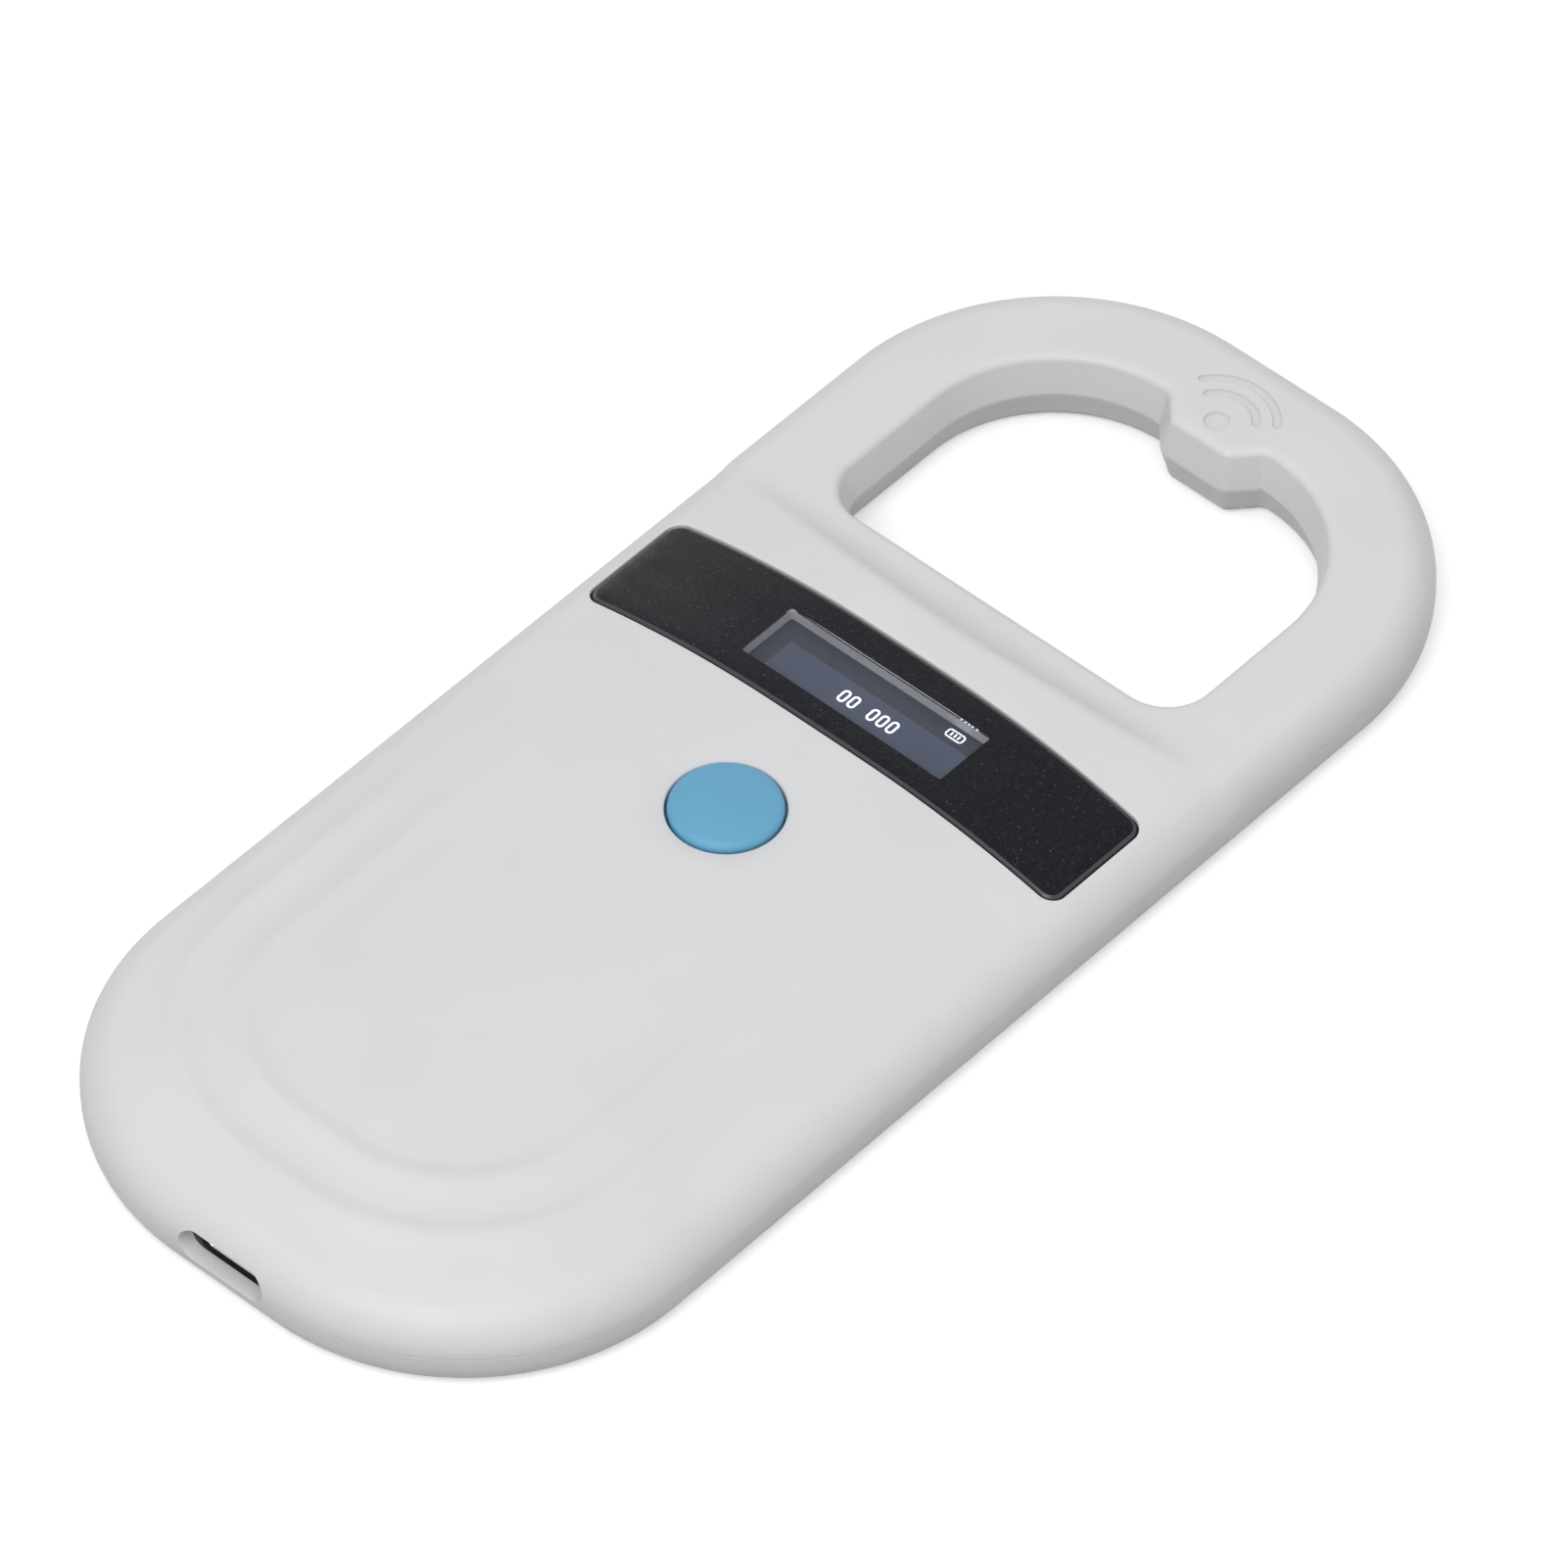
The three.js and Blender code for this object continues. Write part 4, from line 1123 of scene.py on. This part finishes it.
def socket():
    low, high = node_box("usb_socket")
    z, half, half_height = (low[2] + high[2]) / 2, high[0], (high[2] - low[2]) / 2
    outline = lambda half, half_height, corner, inset=0.0: rectangle(
        half, z - half_height, z + half_height, corner, inset, turn=10, spacing=20,
    )
    near, far, skin, closed_end = low[1], high[1], 0.3, 0.8
    profile = [
        (far - closed_end, skin), (near + 0.12, skin), (near, skin - 0.1), (near, 0.1),
        (near + 0.1, 0), (far - 0.1, 0), (far, 0.1),
    ]
    shape = Shape().closed(*(upright(y, outline(half, half_height, 1.4, inset)) for y, inset in profile))
    # Two sprung tabs pressed out of the shell's top and bottom, and its solder legs.
    for side in (-1, 1):
        tab = z + side * (half_height + 0.04)
        for x in (-2.2, 2.2):
            slab(tab - 0.05, tab + 0.05, 0.55, near + 2.2, near + 4.6, 0.2, 0.03, x=x, shape=shape)
        for y in (near + 1.6, far - 1.6):
            slab(z + 0.2, BOARD_LOW[2] - CLEAR, 0.14, y - 0.6, y + 0.6, 0.05, 0.03,
                 x=side * (half + 0.16), shape=shape)
    shape.piece("usb_socket_shell", STEEL, "plated_steel", "usb_socket")

    # A black collar fills the opening round the socket: a dark part put where the opening is only shaded by
    # its depth, as painted shade.
    inner = outline(half + 0.06, half_height + 0.06, 1.45)
    outer = outline(PORT_HALF - 0.05, PORT_HALF_HEIGHT - 0.05, PORT_HALF_HEIGHT - 0.06)
    front, back = near - 0.5, near + 0.4
    collar = Shape()
    collar.band(*(upright(y, plan) for y, plan in (
        (front + 0.06, outer), (front, inner), (back, inner), (back, outer), (front + 0.06, outer),
    )))
    collar.piece("usb_port_shade_collar", CHIP_BLACK, "black_plastic")

    low, high = node_box("usb_tongue")
    shape = node_slab("usb_tongue", 0.3, 0.12)
    contacts, contact_pitch = 12, 0.5
    for k in range(contacts):
        x = (k - (contacts - 1) / 2) * contact_pitch
        for face in (high[2] + 0.005, low[2] - 0.025):
            slab(face, face + 0.02, 0.13, low[1] + 0.35, low[1] + 3.0, 0.03, 0.004, x=x, slot=1, shape=shape)
    shape.piece("usb_tongue_blade", [CHIP_BLACK, GOLD], "black_plastic", "usb_tongue")


def battery():
    low, high = node_box("battery")
    z, half_height = (low[2] + high[2]) / 2, (high[2] - low[2]) / 2
    seal, swell, rounding = 3.6, 0.15, 1.0
    end, flat = high[1] - seal, half_height - swell
    plan = lambda inset: rectangle(high[0], low[1], end, 2.0, inset, turn=15, spacing=5)
    shape = Shape()
    rings = [level(z - flat * c, plan(rounding * (1 - s))) for c, s in bend(0, 180, 13)]
    shape.band(*rings)

    def face(sign):
        centre, reach = (low[1] + end) / 2, (end - low[1]) / 2 - rounding
        across = lambda x: np.clip(1 - (x / (high[0] - rounding)) ** 2, 0, 1)
        along = lambda y: np.clip(1 - ((y - centre) / reach) ** 2, 0, 1)
        return lambda x, y: z + sign * (flat + swell * np.minimum(1, 2.5 * across(x) * along(y)))

    shape.sheet(rings[0][:, :2], [], face(-1), 2.5)
    shape.sheet(rings[-1][:, :2], [], face(1), 2.5)
    slab(z - 0.12, z + 0.12, high[0] - 0.6, end - 0.4, high[1], 0.4, 0.05, shape=shape)
    shape.piece("battery_pouch", BATTERY_FOIL, "battery_foil", "battery", sharp=50)
    tape = slab(z - 0.85, z + 0.85, high[0] - 3.0, end + 0.3, high[1] - 0.3, 0.5, 0.25)
    tape.piece("battery_tab_tape", KAPTON, "adhesive_tape")

    pad = node_slab("battery_pad", 1.2, 0.2)
    pad.piece("battery_foam_pad", BLACK_FOAM, "foam", "battery_pad")

    low, high = node_box("battery_header")
    plug_low, plug_high = node_box("battery_plug")
    play = 0.15
    mouth = slab(plug_low[2] - play, plug_high[2] + play, plug_high[0] + play, low[1] - 1,
                 plug_high[1] + play, 0.1, 0.02)
    node_slab("battery_header", 0.25, 0.1).piece(
        "battery_header_shroud", WHITE_PLASTIC, "white_plastic", "battery_header",
        cutters=[mouth.object("cutter")],
    )
    plug = node_slab("battery_plug", 0.2, 0.08)
    for x in (-1.3, 0, 1.3):
        slab(plug_high[2] - 0.04, plug_high[2] + 0.1, 0.2, plug_low[1] + 0.3, plug_high[1] - 0.5, 0.08, 0.03,
             x=x, shape=plug)
    plug.piece("battery_plug_body", WHITE_PLASTIC, "white_plastic", "battery_plug")

    z = (plug_low[2] + plug_high[2]) / 2
    for colour, material, side in (("red", RED_JACKET, -1.1), ("black", BLACK_JACKET, 1.1)):
        name = "battery_lead_" + colour
        low, high = node_box(name)
        path = [(side * 2.4, high[1], z - 0.4), (side * 1.8, (high[1] + low[1]) / 2, z), (side, low[1], z)]
        tube(path, 0.5).piece(name + "_jacket", material, colour + "_insulation", name)


COIL_WIDTH, COIL_TURNS, COIL_LAYERS = 3.0, 9, 8


def coil_outline(inset):
    low, high = node_box("antenna_coil")
    corners = [low[:2], (high[0], low[1]), high[:2], (low[0], high[1])]
    return rounded_polygon(corners, [9, 9, 25, 25], inset, spacing=4.0, turn=6)


def antenna():
    low, high = node_box("antenna_coil")
    segments, groove = 4, 0.12
    corners = [(0, low[2]), (0, high[2]), (COIL_WIDTH, high[2]), (COIL_WIDTH, low[2])]
    section = []
    for k, count in enumerate((COIL_TURNS, COIL_LAYERS, COIL_TURNS, COIL_LAYERS)):
        # Each turn of wire bulges out to the coil's outline from a groove between turns.
        (i0, z0), (i1, z1) = corners[k], corners[(k + 1) % 4]
        outward = np.array([-(z1 - z0), i1 - i0]) / math.hypot(i1 - i0, z1 - z0)
        for t in np.arange(count * segments) / (count * segments):
            dip = groove * (1 - abs(math.sin(math.pi * t * count)))
            section.append((i0 + (i1 - i0) * t - outward[0] * dip, z0 + (z1 - z0) * t - outward[1] * dip))
    swept(section, coil_outline).piece(
        "antenna_coil_winding", ENAMEL, "copper_wire", "antenna_coil", sharp=60,
    )

    low, high = node_box("coil_carrier")
    wide, z0, z1 = COIL_WIDTH + 0.5, low[2], high[2]
    section = [
        (-0.5, z0 + 0.1), (-0.4, z0), (wide - 0.1, z0), (wide, z0 + 0.1), (wide, z1 - 0.1),
        (wide - 0.1, z1), (wide - 0.45, z1), (wide - 0.55, z1 - 0.12), (0.05, z1 - 0.12), (-0.05, z1),
        (-0.4, z1), (-0.5, z1 - 0.1),
    ]
    swept(section, coil_outline).piece(
        "coil_carrier_ring", WHITE_PLASTIC, "white_plastic", "coil_carrier",
    )

    z = BOARD_LOW[2] - 0.55
    for index, side in ((1, -1), (2, 1)):
        name = f"antenna_lead_{index}"
        low, high = node_box(name)
        path = [(side * 3, high[1], z - 0.6), (side * 3.6, 27, z - 0.2), (side * 4, low[1], z)]
        tube(path, 0.33).piece(name + "_wire", ENAMEL, "copper_wire", name)


def screws():
    for index, (low, high) in enumerate(SCREWS, 1):
        x, y = middle(low, high)
        head, bottom, tip = (high[0] - low[0]) / 2, low[2], high[2]
        shoulder, pitch = bottom + 1.3, 0.55
        profile = [
            (head - 0.75, bottom), (head - 0.35, bottom + 0.08), (head - 0.1, bottom + 0.25),
            (head, bottom + 0.5), (head, shoulder - 0.05), (head - 0.05, shoulder), (0.85, shoulder),
        ]
        z = shoulder + 0.25
        while z < tip - 1.1:
            profile += [(0.74, z), (0.98, z + 0.2), (1.0, z + 0.26), (0.76, z + 0.42)]
            z += pitch
        profile += [(0.7, tip - 0.9), (0.08, tip)]
        cutters = []
        for quarter in (0, 1):
            rings = []
            for depth, half, thick in ((-0.2, 1.15, 0.24), (0.35, 0.85, 0.2), (0.95, 0.4, 0.14)):
                a, b = (half, thick) if quarter else (thick, half)
                cross = np.array([(x - a, y - b), (x + a, y - b), (x + a, y + b), (x - a, y + b)])
                rings.append(level(bottom + depth, cross))
            cutters.append(Shape().closed(*rings).object("cutter"))
        node = f"case_screw_{index}"
        turned(profile, x, y, 32).piece(
            node + "_pan_head", STEEL, "plated_steel", node, cutters=cutters,
        )


def display_backing():
    spacer = node_slab("display_spacer", 0.6, 0.18)
    spacer.piece("display_foam_spacer", BLACK_FOAM, "foam", "display_spacer")

    # The ribbon leaves the display, turns under at its left end and comes back to the board.
    low, high = node_box("oled_ribbon")
    half, start = 0.1, high[0]
    upper, lower = high[2] - half, low[2] + half
    radius = (upper - lower) / 2
    centre = (low[0] + radius + half, (upper + lower) / 2)
    outline = np.vstack([
        [(start, upper + half)], arc(*centre, radius + half, 90, 270, 20),
        [(start, lower - half), (start, lower + half)], arc(*centre, radius - half, 270, 90, 20),
        [(start, upper - half)],
    ])
    Shape().closed(*(upright(y, outline) for y in (low[1], high[1]))).piece(
        "oled_ribbon_film", RIBBON, "ribbon_film", "oled_ribbon",
    )


# ---- stage


def stage():
    mesh = bpy.data.meshes.new("floor")
    size = 6.0
    corners = [(-size, -size, 0), (size, -size, 0), (size, size, 0), (-size, size, 0)]
    mesh.from_pydata(corners, [], [(0, 1, 2, 3)])
    floor = bpy.data.objects.new("floor", mesh)
    bpy.context.scene.collection.objects.link(floor)
    floor.location.z = -0.0002
    material, tree, output, where = tree_of("floor_paper")
    paper = ramp(tree, noise(tree, where, 300.0), (0.3, (0.93, 0.93, 0.93)), (0.7, (0.945, 0.945, 0.945)))
    principled(
        tree, output, Base_Color=paper, Roughness=0.9, Specular_IOR_Level=0.1,
        Emission_Color=paper, Emission_Strength=0.3,
    )
    mesh.materials.append(material)
    # Its bounce is left to the dimmer lower half of the backdrop.
    floor.visible_diffuse = False


def area_light(name, azimuth, elevation, distance, size, energy):
    """A square soft light that looks at the object. Angles are as for the camera's."""
    data = bpy.data.lights.new(name, "AREA")
    data.shape, data.size, data.energy = "SQUARE", size, energy
    light = bpy.data.objects.new(name, data)
    bpy.context.scene.collection.objects.link(light)
    back = direction(azimuth, elevation)
    light.location = back * distance
    light.rotation_mode = "QUATERNION"
    light.rotation_quaternion = (-back).to_track_quat("-Z", "Y")
    return light


def direction(azimuth, elevation):
    a, e = math.radians(azimuth), math.radians(elevation)
    return Vector((math.sin(a) * math.cos(e), -math.cos(a) * math.cos(e), math.sin(e)))


def camera():
    azimuth, elevation, roll = 41.71, 47.37, 0.26
    target, distance = Vector((-5.21, 8.33, -0.5)) * MM, 1.6136
    data = bpy.data.cameras.new("camera")
    data.sensor_width, data.lens = 36.0, 339.65
    data.clip_start, data.clip_end = 0.1, 20.0
    made = bpy.data.objects.new("camera", data)
    bpy.context.scene.collection.objects.link(made)
    back = direction(azimuth, elevation)
    right = Vector((math.cos(math.radians(azimuth)), math.sin(math.radians(azimuth)), 0))
    up = back.cross(right)
    r = math.radians(roll)
    right, up = math.cos(r) * right + math.sin(r) * up, math.cos(r) * up - math.sin(r) * right
    rotation = Matrix((right, up, back)).transposed()
    made.matrix_world = Matrix.Translation(target + back * distance) @ rotation.to_4x4()
    bpy.context.scene.camera = made


# The studio's backdrop is even above the floor and dim below it.
BACKDROP, BELOW_HORIZON = 0.75, 0.15


def lighting():
    world = bpy.data.worlds.new("studio")
    bpy.context.scene.world = world
    world.use_nodes = True
    tree = world.node_tree
    where = add_node(tree, "TexCoord").outputs["Generated"]
    height = add_node(tree, "SeparateXYZ", Vector=where)
    tone = span(tree, height.outputs["Z"], BELOW_HORIZON, BACKDROP, -0.06, 0.02)
    tree.links.new(tone, tree.nodes["Background"].inputs["Color"])
    area_light("key", 22, 52, 1.3, 0.9, 7.5)
    # A card that only the display panel mirrors, brighter towards its left end.
    card = area_light("card", -112, 22, 1.2, 0.9, 4.0)
    card.visible_diffuse = card.visible_transmission = card.visible_shadow = False
    mirrors = bpy.data.collections.new("card_mirrors")
    for name in ("display_panel_film", "oled_glass"):
        mirrors.objects.link(bpy.data.objects[name])
    card.light_linking.receiver_collection = mirrors
    bpy.context.scene.view_settings.view_transform = "Standard"


camera()
stage()
top_shell()
bottom_shell()
display()
oled()
button()
display_backing()
board()
switch()
socket()
battery()
antenna()
screws()
lighting()
